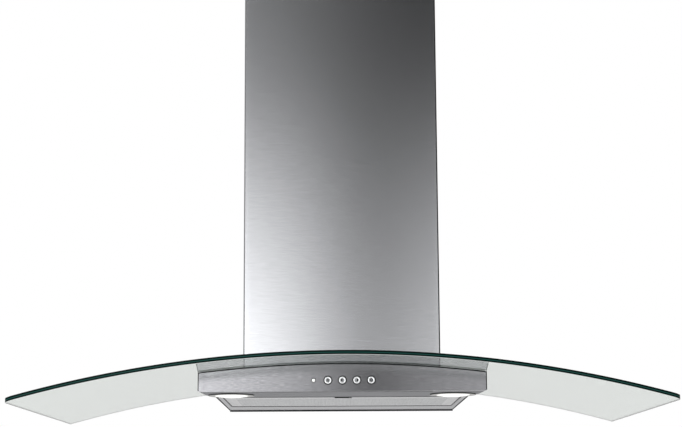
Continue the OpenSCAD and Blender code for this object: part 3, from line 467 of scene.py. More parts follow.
class Draft:
    """A mesh in the making, in millimetres."""

    def __init__(self, source: bpy.types.Mesh | None = None) -> None:
        """Start a mesh.

        Args:
            source: Another mesh to start from, whose metres become millimetres, or none.
        """
        self.mesh = bmesh.new()
        if source is not None:
            self.mesh.from_mesh(source)
            self.mesh.transform(Matrix.Scale(1 / MM, 4))

    def loft(self, rings: Sequence[Sequence[Point]], closed: bool = False) -> None:
        """Join rings of points with faces.

        Args:
            rings: The rings, each with as many points as the others, or one point for a pole.
            closed: Whether the last ring is joined to the first.
        """
        made = [[self.mesh.verts.new(p) for p in ring] for ring in rings]
        pairs = list(zip(made, made[1:])) + ([(made[-1], made[0])] if closed else [])
        for a, b in pairs:
            count = max(len(a), len(b))
            for i in range(count):
                j = (i + 1) % count
                corners = [a[i % len(a)], a[j % len(a)], b[j % len(b)], b[i % len(b)]]
                self.mesh.faces.new(list(dict.fromkeys(corners)))

    def revolve(self, profile: Sequence[Plan], centre: Point, axis: str = "Z", steps: int = 72) -> None:
        """Turn a profile of (radius, height) points about an upright axis, or one along Y.

        Args:
            profile: The points; the first and the last may lie on the axis, else the ring closes.
            centre: Where the axis passes at height 0.
            axis: "Z" or "Y", along which heights count.
            steps: How many steps make the whole turn.
        """
        rings = []
        for radius, height in profile:
            flat = circle((0.0, 0.0), radius, steps) if radius else [(0.0, 0.0)]
            if axis == "Z":
                rings.append([(centre[0] + a, centre[1] + b, centre[2] + height) for a, b in flat])
            else:
                rings.append([(centre[0] + a, centre[1] + height, centre[2] + b) for a, b in flat])
        self.loft(rings, closed=profile[0][0] > 0)

    def plate(self, outline: Sequence[Plan], holes: Sequence[Sequence[Plan]], thickness: float,
              place: Matrix = Matrix.Identity(4)) -> None:
        """Add a flat plate with holes.

        Args:
            outline: Its outline, from above.
            holes: The outlines of its holes.
            thickness: Its thickness, from height 0 upwards.
            place: The matrix that puts it in its place.
        """
        edges = []
        for loop in [outline, *holes]:
            corners = [self.mesh.verts.new((x, y, 0.0)) for x, y in loop]
            edges += [self.mesh.edges.new((a, b)) for a, b in zip(corners, corners[1:] + corners[:1])]
        filled = bmesh.ops.triangle_fill(self.mesh, use_beauty=True, use_dissolve=False, edges=edges)
        faces = [f for f in filled["geom"] if isinstance(f, bmesh.types.BMFace)]
        raised = bmesh.ops.extrude_face_region(self.mesh, geom=faces)
        upper = [v for v in raised["geom"] if isinstance(v, bmesh.types.BMVert)]
        bmesh.ops.translate(self.mesh, vec=(0, 0, thickness), verts=upper)
        mine = list({v for f in faces for v in f.verts} | set(upper))
        bmesh.ops.transform(self.mesh, matrix=place, verts=mine)

    def cut(self, place: Point, way: Point) -> None:
        """Cut every face along the plane through a place, square to a way."""
        everything = [*self.mesh.verts, *self.mesh.edges, *self.mesh.faces]
        bmesh.ops.bisect_plane(self.mesh, geom=everything, plane_co=place, plane_no=way)

    def outward(self) -> "Draft":
        """Turn all faces outwards."""
        bmesh.ops.recalc_face_normals(self.mesh, faces=self.mesh.faces)
        return self

    def evened(self, middles: Sequence[float], squarely: float = 0.999, near: float = 0.001) -> "Draft":
        """Cut the upright front faces at each x and join what is between, so that no sliver shades wrong.

        Args:
            middles: Where the cuts are.
            squarely: The part of the normal along Y from which on a face counts as upright.
            near: How far from a cut an edge may lie to be kept.

        Returns:
            This draft.
        """
        for x in middles:
            self.cut((x, 0, 0), (1, 0, 0))
        self.mesh.normal_update()
        flat = [e for e in self.mesh.edges if all(abs(face.normal.y) > squarely for face in e.link_faces)]
        spare = [e for e in flat if not any(all(abs(v.co.x - x) < near for v in e.verts) for x in middles)]
        bmesh.ops.dissolve_edges(self.mesh, edges=spare, use_verts=False)
        return self

    def merged(self, distance: float = WELD) -> "Draft":
        """Merge doubled points, drop faces without area and turn all faces outwards.

        Args:
            distance: How close doubled points lie.

        Returns:
            This draft.
        """
        bmesh.ops.remove_doubles(self.mesh, verts=self.mesh.verts, dist=distance)
        bmesh.ops.dissolve_degenerate(self.mesh, edges=self.mesh.edges, dist=distance)
        return self.outward()

    def mesh_data(self, name: str, smooth_below: float = 35.0) -> bpy.types.Mesh:
        """Turn the draft to a mesh in metres.

        Args:
            name: The mesh's name.
            smooth_below: The angle in degrees from which on faces meet at a crease.

        Returns:
            The mesh.
        """
        self.mesh.transform(Matrix.Scale(MM, 4))
        for face in self.mesh.faces:
            face.smooth = True
        limit = math.radians(smooth_below)
        for edge in self.mesh.edges:
            edge.smooth = len(edge.link_faces) == 2 and edge.calc_face_angle() < limit
        data = bpy.data.meshes.new(name)
        self.mesh.to_mesh(data)
        self.mesh.free()
        return data

    def held(self, name: str) -> bpy.types.Object:
        """Turn the draft to an object in the scene, to which modifiers can be added."""
        return linked(name, self.mesh_data(name))

    def softened(self, name: str, width: float, segments: int = 2, above: float = 40.0) -> bpy.types.Mesh:
        """Round the sharp edges.

        Args:
            name: The mesh's name.
            width: How wide the rounding is.
            segments: How many faces it has across.
            above: The angle in degrees from which on an edge is sharp.

        Returns:
            The mesh, in metres.
        """
        holder = self.held(name)
        bevel = holder.modifiers.new("arris", "BEVEL")
        bevel.width, bevel.segments = width * MM, segments
        bevel.limit_method, bevel.angle_limit = "ANGLE", math.radians(above)
        bevel.use_clamp_overlap = True
        return baked(holder, name, flat=True)


class Generator:
    """A Geometry Nodes tree with named inputs, run once to make a plain mesh."""

    def __init__(self, name: str) -> None:
        """Start the tree with its geometry input and output.

        Args:
            name: The tree's name.
        """
        self.tree = bpy.data.node_groups.new(name, "GeometryNodeTree")
        for way in ("INPUT", "OUTPUT"):
            self.tree.interface.new_socket("Geometry", in_out=way, socket_type="NodeSocketGeometry")
        self.entry = add(self.tree, "NodeGroupInput")
        self.values: dict[str, float | int] = {}

    def size(self, name: str, value: float | int) -> bpy.types.NodeSocket:
        """Add a named input with its value.

        Args:
            name: The input's name.
            value: A length in metres, another measure or a count.

        Returns:
            The input's socket.
        """
        kind = "NodeSocketInt" if isinstance(value, int) else "NodeSocketFloat"
        socket = self.tree.interface.new_socket(name, in_out="INPUT", socket_type=kind)
        self.values[socket.identifier] = value
        return self.entry.outputs[name]

    def run(self, name: str, geometry: bpy.types.Node, material: bpy.types.Material,
            source: bpy.types.Mesh | None = None) -> bpy.types.Mesh:
        """Close the tree, run it and return the mesh.

        Args:
            name: The new mesh's name.
            geometry: The last node, whose output is what the tree has made.
            material: The material that all of it takes.
            source: The mesh that goes in, if the tree needs one.

        Returns:
            The plain mesh.
        """
        real = add(self.tree, "GeometryNodeRealizeInstances", {0: geometry})
        paint = add(self.tree, "GeometryNodeSetMaterial", {"Geometry": real, "Material": material})
        add(self.tree, "NodeGroupOutput", {0: paint})
        holder = bpy.data.objects.new(name, source or bpy.data.meshes.new(name))
        modifier = holder.modifiers.new("shape", "NODES")
        modifier.node_group = self.tree
        for identifier, value in self.values.items():
            modifier[identifier] = value
        bpy.context.scene.collection.objects.link(holder)
        return baked(holder, name)


# The hood's own sizes that several groups share


@dataclass(frozen=True)
class Arch:
    """The arch that the glass and everything on it follow: shells about an axis along Y."""

    rise: float = 62.0
    half: float = 450.0
    under: float = -140.0

    @property
    def radius(self) -> float:
        """Radius of the glass's underside."""
        return (self.half ** 2 + self.rise ** 2) / (2 * self.rise)

    @property
    def axis_z(self) -> float:
        """Height of the arch's axis."""
        return self.under - self.radius

    def height(self, x: float, above: float = 0.0) -> float:
        """Return the height at x of a shell that lies above the glass's underside."""
        return self.axis_z + math.sqrt((self.radius + above) ** 2 - x * x)


@dataclass(frozen=True)
class PanelRow:
    """The front panel's face and its row of one indicator and four buttons, from left to right."""

    panel_y: float = -387.0
    z: float = -164.5
    pitch: float = 20.3
    first: int = -2
    count: int = 5

    @property
    def columns(self) -> list[float]:
        """Return the places of the indicator and then of each button."""
        return [i * self.pitch for i in range(self.first, self.first + self.count)]


ARCH = Arch()
ROW = PanelRow()
UNDERSIDE_Z = -180.0


@dataclass
class Assembly:
    """A group of the hood's pieces and the materials that dress them."""

    rack: dict[str, bpy.types.Material]
    made: list[bpy.types.Object] = field(default_factory=list)

    def piece(self, mesh: bpy.types.Mesh, name: str, slot: str, body: str, *stands_for: str,
              also: Sequence[bpy.types.Material] = ()) -> bpy.types.Object:
        """Put a finished mesh in the frame.

        Args:
            mesh: The mesh, in metres and in place.
            name: The piece's name.
            slot: The record's material slot that it takes its finish from.
            body: The body that it moves with.
            stands_for: The CAD nodes that it replaces.
            also: Further materials, for faces that have another finish.

        Returns:
            The new object.
        """
        finishes_of_faces = [face.material_index for face in mesh.polygons]
        mesh.materials.clear()
        for material in [self.rack[slot], *also]:
            mesh.materials.append(material)
        mesh.polygons.foreach_set("material_index", finishes_of_faces)
        placed = linked(name, mesh)
        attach(placed, body)
        if stands_for:
            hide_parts(*stands_for)
        self.made.append(placed)
        return placed

    def merged_copy(self, node: str) -> Draft:
        """Copy a CAD node, with its doubles merged and its flat faces joined.

        Args:
            node: The node's name.

        Returns:
            The copy.
        """
        draft = Draft(frame["nodes"][node].data)
        bmesh.ops.remove_doubles(draft.mesh, verts=draft.mesh.verts, dist=WELD)
        bmesh.ops.dissolve_limit(draft.mesh, angle_limit=math.radians(FLATNESS), verts=draft.mesh.verts,
                                 edges=draft.mesh.edges)
        return draft

    def rounded_copy(self, node: str, width: float, slot: str, body: str = "root") -> bpy.types.Object:
        """Replace a CAD node by a merged copy of it with softened edges."""
        shape = self.merged_copy(node).softened(f"{node}_shape", width)
        return self.piece(shape, f"{node}_finished", slot, body, node)


# Assemblies


@dataclass
class Canopy(Assembly):
    """The arched glass sheet with its polished edges."""

    depth: float = 500.0
    corner_r: float = 12.0
    thickness: float = 6.0
    arris: float = 0.7
    # The bent sheet is made of flat strips about this wide
    strip: float = 7.5
    # Half width, front, rear and corner radius of the air cut-out
    opening: tuple[float, float, float, float] = (98.0, 232.0, 26.0, 14.0)
    # A face is part of an edge if its normal's upright part is below this
    edge_tilt: float = 0.9
    hole_r: float = 5.0
    screws: tuple[Plan, ...] = ((-117.5, -57.0), (-117.5, -187.0), (117.5, -57.0), (117.5, -187.0),
                                (-50.0, -247.5), (50.0, -247.5))

    def outline(self) -> list[Plan]:
        """Outline the sheet from above, round at its front corners.

        Returns:
            The outline.
        """
        half, r = ARCH.half, self.corner_r
        front = -self.depth + r
        return ([(half, 0.0), (-half, 0.0)] + arc((-half + r, front), r, 180, 270, 10)
                + arc((half - r, front), r, 270, 360, 10))

    def build(self) -> None:
        """Cut the flat sheet, bend it over the arch and polish its edges."""
        half, front, rear, r = self.opening
        draft = Draft()
        holes = [rounded_box((-half, -front), (half, -rear), r)]
        holes += [circle(place, self.hole_r, 32) for place in self.screws]
        draft.plate(self.outline(), holes, self.thickness)
        flat = Draft(draft.merged().softened("canopy_flat", self.arris, segments=1))
        count = int(2 * ARCH.half / self.strip)
        for i in range(1, count):
            x = -ARCH.half + 2 * ARCH.half * i / count
            flat.cut((x, 0, 0), (1, 0, 0))
        for face in flat.mesh.faces:
            face.material_index = int(abs(face.normal.z) < self.edge_tilt)
        sheet = self.bent(flat.mesh_data("canopy_sheet"))
        edge = PolishedEdge("polished_float_glass_edge", "#01130f", "#22504a", "#f2f7f5", ARCH.axis_z,
                            ARCH.radius, self.thickness).build()
        self.piece(sheet, "glass_sheet", "canopy_glass", "root", "glass_canopy", also=[edge])

    def bent(self, flat: bpy.types.Mesh) -> bpy.types.Mesh:
        """Bend a flat sheet over the arch with Geometry Nodes, its cut edges kept upright.

        Args:
            flat: The sheet, level at height 0.

        Returns:
            The bent sheet, with its faces' finishes as they were.
        """
        bend = Generator("arch_bend")
        radius = bend.size("Arch radius", ARCH.radius * MM)
        axis_z = bend.size("Arch axis height", ARCH.axis_z * MM)
        tree = bend.tree
        parts = add(tree, "ShaderNodeSeparateXYZ", {0: add(tree, "GeometryNodeInputPosition")})
        x, y, z = parts.outputs
        lifted = add(tree, "ShaderNodeMath", {0: radius, 1: z}, operation="ADD")
        reach = add(tree, "ShaderNodeMath", {0: lifted, 1: 2.0}, operation="POWER")
        sideways = add(tree, "ShaderNodeMath", {0: x, 1: 2.0}, operation="POWER")
        over = add(tree, "ShaderNodeMath", {0: reach, 1: sideways}, operation="SUBTRACT")
        rise = add(tree, "ShaderNodeMath", {0: over}, operation="SQRT")
        height = add(tree, "ShaderNodeMath", {0: axis_z, 1: rise}, operation="ADD")
        bowed = add(tree, "ShaderNodeCombineXYZ", {0: x, 1: y, 2: height})
        moved = add(tree, "GeometryNodeSetPosition", {"Geometry": bend.entry, "Position": bowed})
        edges = [face.material_index for face in flat.polygons]
        sheet = bend.run("glass_sheet", moved, self.rack["canopy_glass"], flat)
        sheet.polygons.foreach_set("material_index", edges)
        return sheet


@dataclass
class Chimney(Assembly):
    """The telescoping chimney: two folded sheets, the upper one with vent slots."""

    sheet: float = 1.0
    bend_r: float = 1.9
    fold: float = 9.0
    # Half width, front, back and top of each section
    lower: tuple[float, float, float, float] = (147.5, -260.0, 0.0, 466.0)
    upper: tuple[float, float, float, float] = (145.7, -258.2, -1.8, 488.0)
    lower_foot: float = 8.1
    upper_foot: float = 11.6
    step: float = 9.0
    slots: int = 6
    slot_size: Plan = (120.0, 5.0)
    slot_pitch: float = 12.0
    slot_top: float = 398.0
    # How far the slots' cutters reach past the sides
    overreach: float = 5.0
    weld: float = 0.0005
    bend_tilt: float = 0.05

    def section(self, half: float, front: float, back: float) -> list[Plan]:
        """Outline a folded sheet from above, outside first and then inside.

        Args:
            half: Half its width.
            front: The y of its front.
            back: The y of its rear folds.

        Returns:
            The outline, with points along its straight stretches.
        """
        t, r, tip = self.sheet, self.bend_r, half - self.fold
        inner, left, right = r - t, -half + r, half - r
        fore, aft = front + r, back - r
        outside = [(tip, back), *arc((right, aft), r, 90, 0, 6), *arc((right, fore), r, 0, -90, 6),
                   *arc((left, fore), r, 270, 180, 6), *arc((left, aft), r, 180, 90, 6), (-tip, back)]
        inside = [(-tip, back - t), *arc((left, aft), inner, 90, 180, 4),
                  *arc((left, fore), inner, 180, 270, 4), *arc((right, fore), inner, -90, 0, 4),
                  *arc((right, aft), inner, 0, 90, 4), (tip, back - t)]
        return self.finely(outside + inside)

    def finely(self, outline: list[Plan]) -> list[Plan]:
        """Add points along straight stretches, so that a foot cut to the arch stays true.

        Args:
            outline: The outline's corners.

        Returns:
            The outline with its further points.
        """
        points = []
        for a, b in zip(outline, outline[1:] + outline[:1]):
            count = max(1, round(math.dist(a, b) / self.step))
            points += [(a[0] + (b[0] - a[0]) * i / count, a[1] + (b[1] - a[1]) * i / count)
                       for i in range(count)]
        return points

    def folded(self, sizes: tuple[float, float, float, float], foot: float) -> Draft:
        """Raise a folded sheet from the arch to its top.

        Args:
            sizes: Half width, front, back and top.
            foot: How far its foot lies above the glass's underside.

        Returns:
            The closed sheet.
        """
        half, front, back, top = sizes
        plan = self.section(half, front, back)
        draft = Draft()
        rings = [[(x, y, ARCH.height(x, foot)) for x, y in plan], [(x, y, top) for x, y in plan]]
        draft.loft(rings)
        lows, highs = self.rings_of(draft, len(plan))
        bmesh.ops.triangle_fill(draft.mesh, use_beauty=True, edges=lows)
        bmesh.ops.triangle_fill(draft.mesh, use_beauty=True, edges=highs)
        return draft.merged(self.weld)

    def rings_of(self, draft: Draft, count: int) -> tuple[list, list]:
        """Find the edges of the lowest and of the highest ring of a lofted sheet.

        Args:
            draft: The sheet.
            count: How many points a ring has.

        Returns:
            The edges of the lowest ring, and those of the highest.
        """
        draft.mesh.verts.index_update()
        low = [e for e in draft.mesh.edges if all(v.index < count for v in e.verts)]
        high = [e for e in draft.mesh.edges if all(v.index >= count for v in e.verts)]
        return low, high

    def mark_bends(self, mesh: bpy.types.Mesh) -> bpy.types.Mesh:
        """Give the faces of the rounded corners their painted shade: grey on the left corners, near black on
        the right.

        Args:
            mesh: A folded sheet.

        Returns:
            The same mesh.
        """
        for face in mesh.polygons:
            on_bend = min(abs(face.normal.x), abs(face.normal.y)) > self.bend_tilt
            face.material_index = int(on_bend) * (1 + int(face.center.x > 0))
        return mesh

    def slot_cutters(self) -> bpy.types.Mesh:
        """Make the bodies that cut the vent slots, one row through both sides.

        Returns:
            The mesh.
        """
        length, height = self.slot_size
        maker = Generator("vent_slots")
        count = maker.size("Slots", self.slots)
        pitch = maker.size("Pitch", self.slot_pitch * MM)
        tree = maker.tree
        line = add(tree, "GeometryNodeMeshLine", {"Count": count, "Offset": (0, 0, 0)})
        drop = add(tree, "ShaderNodeMath", {0: add(tree, "GeometryNodeInputIndex"), 1: pitch},
                   operation="MULTIPLY")
        fall = add(tree, "ShaderNodeMath", {0: drop, 1: -1.0}, operation="MULTIPLY")
        down = add(tree, "ShaderNodeCombineXYZ", {2: fall})
        row = add(tree, "GeometryNodeSetPosition", {"Geometry": line, "Offset": down})
        copies = add(tree, "GeometryNodeInstanceOnPoints", {"Points": row, "Instance": maker.entry})
        half, front, back, _ = self.upper
        reach, r = self.overreach, height / 2
        outline = arc((length / 2, 0), r, -90, 90, 10) + arc((-length / 2, 0), r, 90, 270, 10)
        through = Matrix(((0, 0, 1, -half - reach), (1, 0, 0, (front + back) / 2), (0, 1, 0, self.slot_top),
                          (0, 0, 0, 1)))
        slot = Draft()
        slot.plate(outline, [], 2 * half + 2 * reach, through)
        return maker.run("slot_cutters", copies, self.rack["chimney_steel"],
                         slot.merged().mesh_data("slot_cutter"))

    def build(self) -> None:
        """Fold both sections and cut the upper one's slots."""
        # Brushed steel on a bend, painted darker for the shade and dark reflection along the chimney's sides:
        # grey on the left corners, near black on the right
        painted_bend_shades = [BrushedSteel(f"stainless_steel_bend_painted_shade_{turn}", dark, light, 0.3, 0.6, Grain.LEVEL).build()
                 for turn, dark, light in (("first", "#88898b", "#929395"), ("last", "#1b1b1d", "#252527"))]
        low = baked(self.folded(self.lower, self.lower_foot).held("lower_sheet"), "lower_sheet", flat=True)
        self.piece(self.mark_bends(low), "chimney_lower", "chimney_steel", "root", "lower_chimney",
                   also=painted_bend_shades)
        sheet = self.folded(self.upper, self.upper_foot).held("upper_sheet")
        cutter = linked("cutter", self.slot_cutters())
        cut = sheet.modifiers.new("slots", "BOOLEAN")
        cut.object, cut.operation, cut.solver = cutter, "DIFFERENCE", "EXACT"
        mesh = baked(sheet, "upper_sheet", flat=True)
        bpy.data.objects.remove(cutter)
        self.piece(self.mark_bends(mesh), "chimney_upper", "chimney_steel", "upper_chimney", "upper_chimney",
                   also=painted_bend_shades)


@dataclass
class Body(Assembly):
    """The low body under the glass: pan, dark carrier and front panel."""

    panel_half: float = 202.0
    panel_t: float = 1.5
    carrier_t: float = 2.5
    lip_t: float = 1.2
    top_above: float = -2.1
    # An odd count puts no corner of the arched top at x = 0, where one of the cuts goes
    top_steps: int = 41
    button_hole_r: float = 6.3
    led_hole_r: float = 3.2
    # From strip_y forwards the pan's underside takes painted shade; the sill next to the panel, across the
    # sill's half width, is painted near black for the shadow under the panel's lip
    strip_y: float = -282.0
    sill_y: float = -376.0
    sill_half: float = 127.0
    pan_half: float = 185.0
    hem_start: float = -299.7
    hem_w: float = 1.0
    hem_h: float = 1.0
    rear_hem_h: float = 2.6
    front_hem_h: float = 0.6
    opening_half: float = 177.0
    collar_proud: float = 0.1
    button_collar: Plan = (5.3, 6.2)
    led_collar: Plan = (2.5, 3.1)
    collar_steps: int = 48
    sheet_arris: float = 0.5
    fine_arris: float = 0.3
    # A face whose normal is below this looks down
    down: float = -0.9

    def front(self) -> bpy.types.Mesh:
        """Make the front panel with its holes and the lip folded back under it.

        Returns:
            The mesh.
        """
        half, behind = self.panel_half, ROW.panel_y + self.panel_t
        top = [half - 2 * half * i / self.top_steps for i in range(self.top_steps + 1)]
        outline = [(-half, UNDERSIDE_Z), (half, UNDERSIDE_Z)]
        outline += [(x, ARCH.height(x, self.top_above)) for x in top]
        led, *buttons = ROW.columns
        holes = [circle((x, ROW.z), self.button_hole_r) for x in buttons]
        holes.append(circle((led, ROW.z), self.led_hole_r, 32))
        draft = Draft()
        draft.plate(outline, holes, self.panel_t, upright(0, behind, 0))
        lip = rectangle((-half, behind), (half, behind + self.carrier_t))
        draft.plate(lip, [], self.lip_t, Matrix.Translation((0, 0, UNDERSIDE_Z)))
        return draft.outward().evened(ROW.columns).softened("panel_sheet", self.fine_arris, segments=3)

    def pan(self) -> bpy.types.Mesh:
        """Soften the pan, mark its front strip and sill for painted shade, and fold a hem along its free
        edges.

        Returns:
            The mesh, with the strip's painted shade at index 1, and the sill and the hem, painted near black
            for shade, at index 2.
        """
        draft = self.merged_copy("body_pan")
        for y in (self.sill_y, self.strip_y):
            draft.cut((0, y, 0), (0, 1, 0))
        for x in (-self.sill_half, self.sill_half):
            draft.cut((x, 0, 0), (1, 0, 0))
        joined = Draft(draft.softened("pan_sheet", self.sheet_arris))
        for face in joined.mesh.faces:
            middle = face.calc_center_median()
            if face.normal.z < self.down and middle.z < UNDERSIDE_Z + self.lip_t:
                in_sill = middle.y < self.sill_y and abs(middle.x) < self.sill_half
                face.material_index = (middle.y < self.strip_y) + in_sill
        half, start, w, inner = self.pan_half, self.hem_start, self.hem_w, self.opening_half
        count = len(joined.mesh.faces)
        for low, high, depth in (((-half, start), (-half + w, -w), self.hem_h),
                                 ((half - w, start), (half, -w), self.hem_h),
                                 ((-half, -w), (half, 0), self.rear_hem_h),
                                 ((-inner, self.strip_y - w), (inner, self.strip_y), self.front_hem_h)):
            joined.plate(rectangle(low, high), [], depth, Matrix.Translation((0, 0, UNDERSIDE_Z - depth)))
        joined.mesh.faces.ensure_lookup_table()
        # The hems take the near-black painted shade of the slit
        for face in joined.mesh.faces[count:]:
            face.material_index = 2
        return joined.mesh_data("pan_sheet")

    def carrier(self) -> bpy.types.Mesh:
        """Soften the carrier and stand a collar round each button and the indicator.

        Returns:
            The mesh.
        """
        joined = Draft(self.merged_copy("panel_carrier").softened("carrier_moulding", self.fine_arris))
        low, high = ROW.panel_y - self.collar_proud, ROW.panel_y + self.panel_t
        led, *buttons = ROW.columns
        places = [(x, *self.button_collar) for x in buttons] + [(led, *self.led_collar)]
        for x, inner, outer in places:
            joined.revolve(rectangle((inner, low), (outer, high)), (x, 0, ROW.z), "Y", self.collar_steps)
        joined.outward()
        return joined.mesh_data("carrier_moulding")

    def build(self) -> None:
        """Make the front panel, the pan and the carrier."""
        self.piece(self.front(), "control_panel", "panel_steel", "root", "front_panel")
        # The same steel with a darker flat-angle tint: painted shade on the front strip under the lamps
        strip = BrushedSteel("stainless_steel_satin_painted_shade", "#bababd", "#c2c2c5", 0.38, 0.5, Grain.ACROSS,
                             flat_angle="#6e6e71").build()
        # The free edges are hemmed: two sheets, and the hems and the sill painted near black for the shade in
        # the slit and under the panel's lip
        hem = BrushedSteel("stainless_steel_hem_painted_shade", "#2b2c2e", "#37383a", 0.4, 0.5, Grain.ACROSS,
                           flat_angle="#2b2c2e").build()
        self.piece(self.pan(), "body_pan_finished", "body_steel", "root", "body_pan", also=[strip, hem])
        self.piece(self.carrier(), "panel_carrier_finished", "black_plastic", "root", "panel_carrier")


class Mark(Enum):
    """The plain marks on the buttons, by the button's number."""

    DIAMOND = 1
    LEFT_HALF = 2
    RIGHT_HALF = 3
    RING = 4


@dataclass
class Controls(Assembly):
    """Four push buttons and the indicator, along one line in the front panel."""

    proud: float = 1.6
    cap_r: float = 5.0
    cap_rear: float = -384.1
    cap_edge_r: float = 0.5
    plunger_r: float = 2.5
    plunger_end: float = -374.0
    recess_r: float = 2.5
    recess: float = 0.5
    recess_edge_r: float = 0.3
    # From the dish's rim outwards: how much wider than the dish, and how far below the face
    rim: tuple[Plan, ...] = ((0.0, 0.25), (0.15, 0.06), (0.45, 0.0))
    led_r: float = 2.3
    led_rear: float = -382.0
    led_tip: float = -82.0
    mark_share: float = 0.8
    diamond_hole: float = 0.55
    ring_hole: float = 0.5
    mark_t: float = 0.12
    lip: float = 0.4

    def mark(self, kind: Mark) -> tuple[list[Plan], list[list[Plan]]]:
        """Outline a button's mark about its middle.

        Args:
            kind: Which mark.

        Returns:
            The outline and the holes.
        """
        r = self.recess_r * self.mark_share
        if kind is Mark.DIAMOND:
            return circle((0, 0), r, 4), [circle((0, 0), r * self.diamond_hole, 4)]
        if kind is Mark.LEFT_HALF:
            return arc((0, 0), r, 90, 270, 16), []
        if kind is Mark.RIGHT_HALF:
            return arc((0, 0), r, -90, 90, 16), []
        return circle((0, 0), r, 24), [circle((0, 0), r * self.ring_hole, 24)]

    def button(self, kind: Mark) -> bpy.types.Mesh:
        """Turn a button with its dished middle and lay its mark in the dish.

        Args:
            kind: Which mark it has.

        Returns:
            The mesh, with the mark at index 1 and the dish at index 2.
        """
        x = ROW.columns[kind.value]
        face = ROW.panel_y - self.proud
        r, dish, edge, small = self.cap_r, self.recess_r, self.cap_edge_r, self.recess_edge_r
        bottom = face + self.recess
        profile = [(0, bottom), (dish * self.mark_share, bottom),
                   *arc((dish - small, bottom - small), small, 90, 0, 3),
                   *[(dish + wider, face + below) for wider, below in self.rim],
                   *arc((r - edge, face + edge), edge, -90, 0, 5), (r, self.cap_rear),
                   (self.plunger_r, self.cap_rear), (self.plunger_r, self.plunger_end), (0, self.plunger_end)]
        draft = Draft()
        draft.revolve(profile, (x, 0, ROW.z), axis="Y")
        draft.outward()
        metal = len(draft.mesh.faces)
        outline, holes = self.mark(kind)
        draft.plate(outline, holes, self.mark_t, upright(x, bottom, ROW.z))
        draft.mesh.faces.ensure_lookup_table()
        for i, piece in enumerate(draft.mesh.faces):
            middle = piece.calc_center_median() - Vector((x, face, ROW.z))
            in_dish = middle.xz.length < self.recess_r + self.lip and middle.y < self.recess + self.mark_t
            piece.material_index = 1 if i >= metal else 2 * int(in_dish)
        return draft.mesh_data(f"button_{kind.value}_shape")

    def build(self) -> None:
        """Make the buttons and the indicator."""
        # The dish is a dull, darker grey inside the bright ring
        dish = SheetMetal("chrome_dull_grey", "#a4a5a8", "#b2b3b6", 0.5, 0.8, depth=0.01).build()
        for kind in Mark:
            name = f"button_{kind.value}"
            self.piece(self.button(kind), f"{name}_cap", "button_chrome", name, name,
                       also=[self.rack["black_plastic"], dish])
        dome = Draft()
        middle, r = ROW.panel_y + self.led_r / 2, self.led_r
        dome.revolve([(0, middle - r), *arc((0, middle), r, self.led_tip, 0, 12), (r, self.led_rear),
                      (0, self.led_rear)], (ROW.columns[0], 0, ROW.z), axis="Y")
        dome.outward()
        for face in dome.mesh.faces:
            face.material_index = 1
        # Milky lens with a painted glow: a small soft white dot that stands in for the highlight on the dome
        painted_glow = ClearGlass("led_lens_painted_glow", "#fbfbf8", 0.3, 0.9, glow=0.4).build()
        self.piece(dome.mesh_data("indicator_dome"), "indicator_lens", "white_plastic", "root", "indicator",
                   also=[painted_glow])


@dataclass
class Lamps(Assembly):
    """Two round lamps: a satin rim and a frosted dome each."""

    spread: float = 160.0
    lamp_y: float = -327.0
    rim_r: float = 33.0
    rim_t: float = 1.6
    lens_r: float = 24.0
    dome: float = 2.6
    loose: float = 0.3
    sleeve_r: float = 29.5
    sleeve_h: float = 8.0
    sleeve_t: float = 1.2
    lens_t: float = 1.5
    edge_r: float = 0.25
    lip_r: float = 0.5
    # A face of the outer edge is black if its normal's upright part is below this
    level: float = 0.5
    steps: int = 96

    def rim(self, x: float, name: str) -> bpy.types.Mesh:
        """Turn a rim: a rolled outer edge, a flat face and a soft inner lip.

        Args:
            x: The lamp's place.
            name: The mesh's name.

        Returns:
            The mesh, with its black outer edge at index 1.
        """
        t, r, edge, lip = self.rim_t, self.rim_r, self.edge_r, self.lip_r
        inner, bore = self.lens_r + self.loose, self.sleeve_r - self.sleeve_t
        profile = [(inner, 0), (inner, -t + lip), *arc((inner + lip, -t + lip), lip, 180, 270, 4),
                   *arc((r - edge, -t + edge), edge, -90, 0, 3), (r, 0), (self.sleeve_r, 0),
                   (self.sleeve_r, self.sleeve_h), (bore, self.sleeve_h), (bore, 0)]
        draft = Draft()
        draft.revolve(profile, (x, self.lamp_y, UNDERSIDE_Z), steps=self.steps)
        draft.outward()
        for face in draft.mesh.faces:
            middle = face.calc_center_median() - Vector((x, self.lamp_y, UNDERSIDE_Z))
            face.material_index = int(middle.xy.length > r - edge and abs(face.normal.z) < self.level)
        return draft.mesh_data(name)

    def lens(self, x: float, name: str) -> bpy.types.Mesh:
        """Turn a lens: a shallow dome with a round shoulder and a flange behind the rim.

        Args:
            x: The lamp's place.
            name: The mesh's name.

        Returns:
            The mesh.
        """
        ball = (self.lens_r ** 2 + self.dome ** 2) / (2 * self.dome)
        low = -self.rim_t - self.dome
        tip = math.degrees(math.asin(self.lens_r / ball))
        dome = arc((0, low + ball), ball, -90, -90 + tip, 14)[1:]
        seat_r = self.sleeve_r - self.sleeve_t - self.loose
        profile = [(0, low), *dome, (self.lens_r, 0), (seat_r, 0), (seat_r, self.lens_t), (0, self.lens_t)]
        draft = Draft()
        draft.revolve(profile, (x, self.lamp_y, UNDERSIDE_Z), steps=self.steps)
        draft.outward()
        return draft.mesh_data(name)

    def build(self) -> None:
        """Make both lamps."""
        for side, x in (("left", -self.spread), ("right", self.spread)):
            self.piece(self.rim(x, f"rim_{side}_turned"), f"rim_{side}", "lamp_rim_metal", "root",
                       f"lamp_rim_{side}", also=[self.rack["black_rubber"]])
            self.piece(self.lens(x, f"lens_{side}_turned"), f"lens_{side}", "lens_glass", "root",
                       f"lamp_lens_{side}")


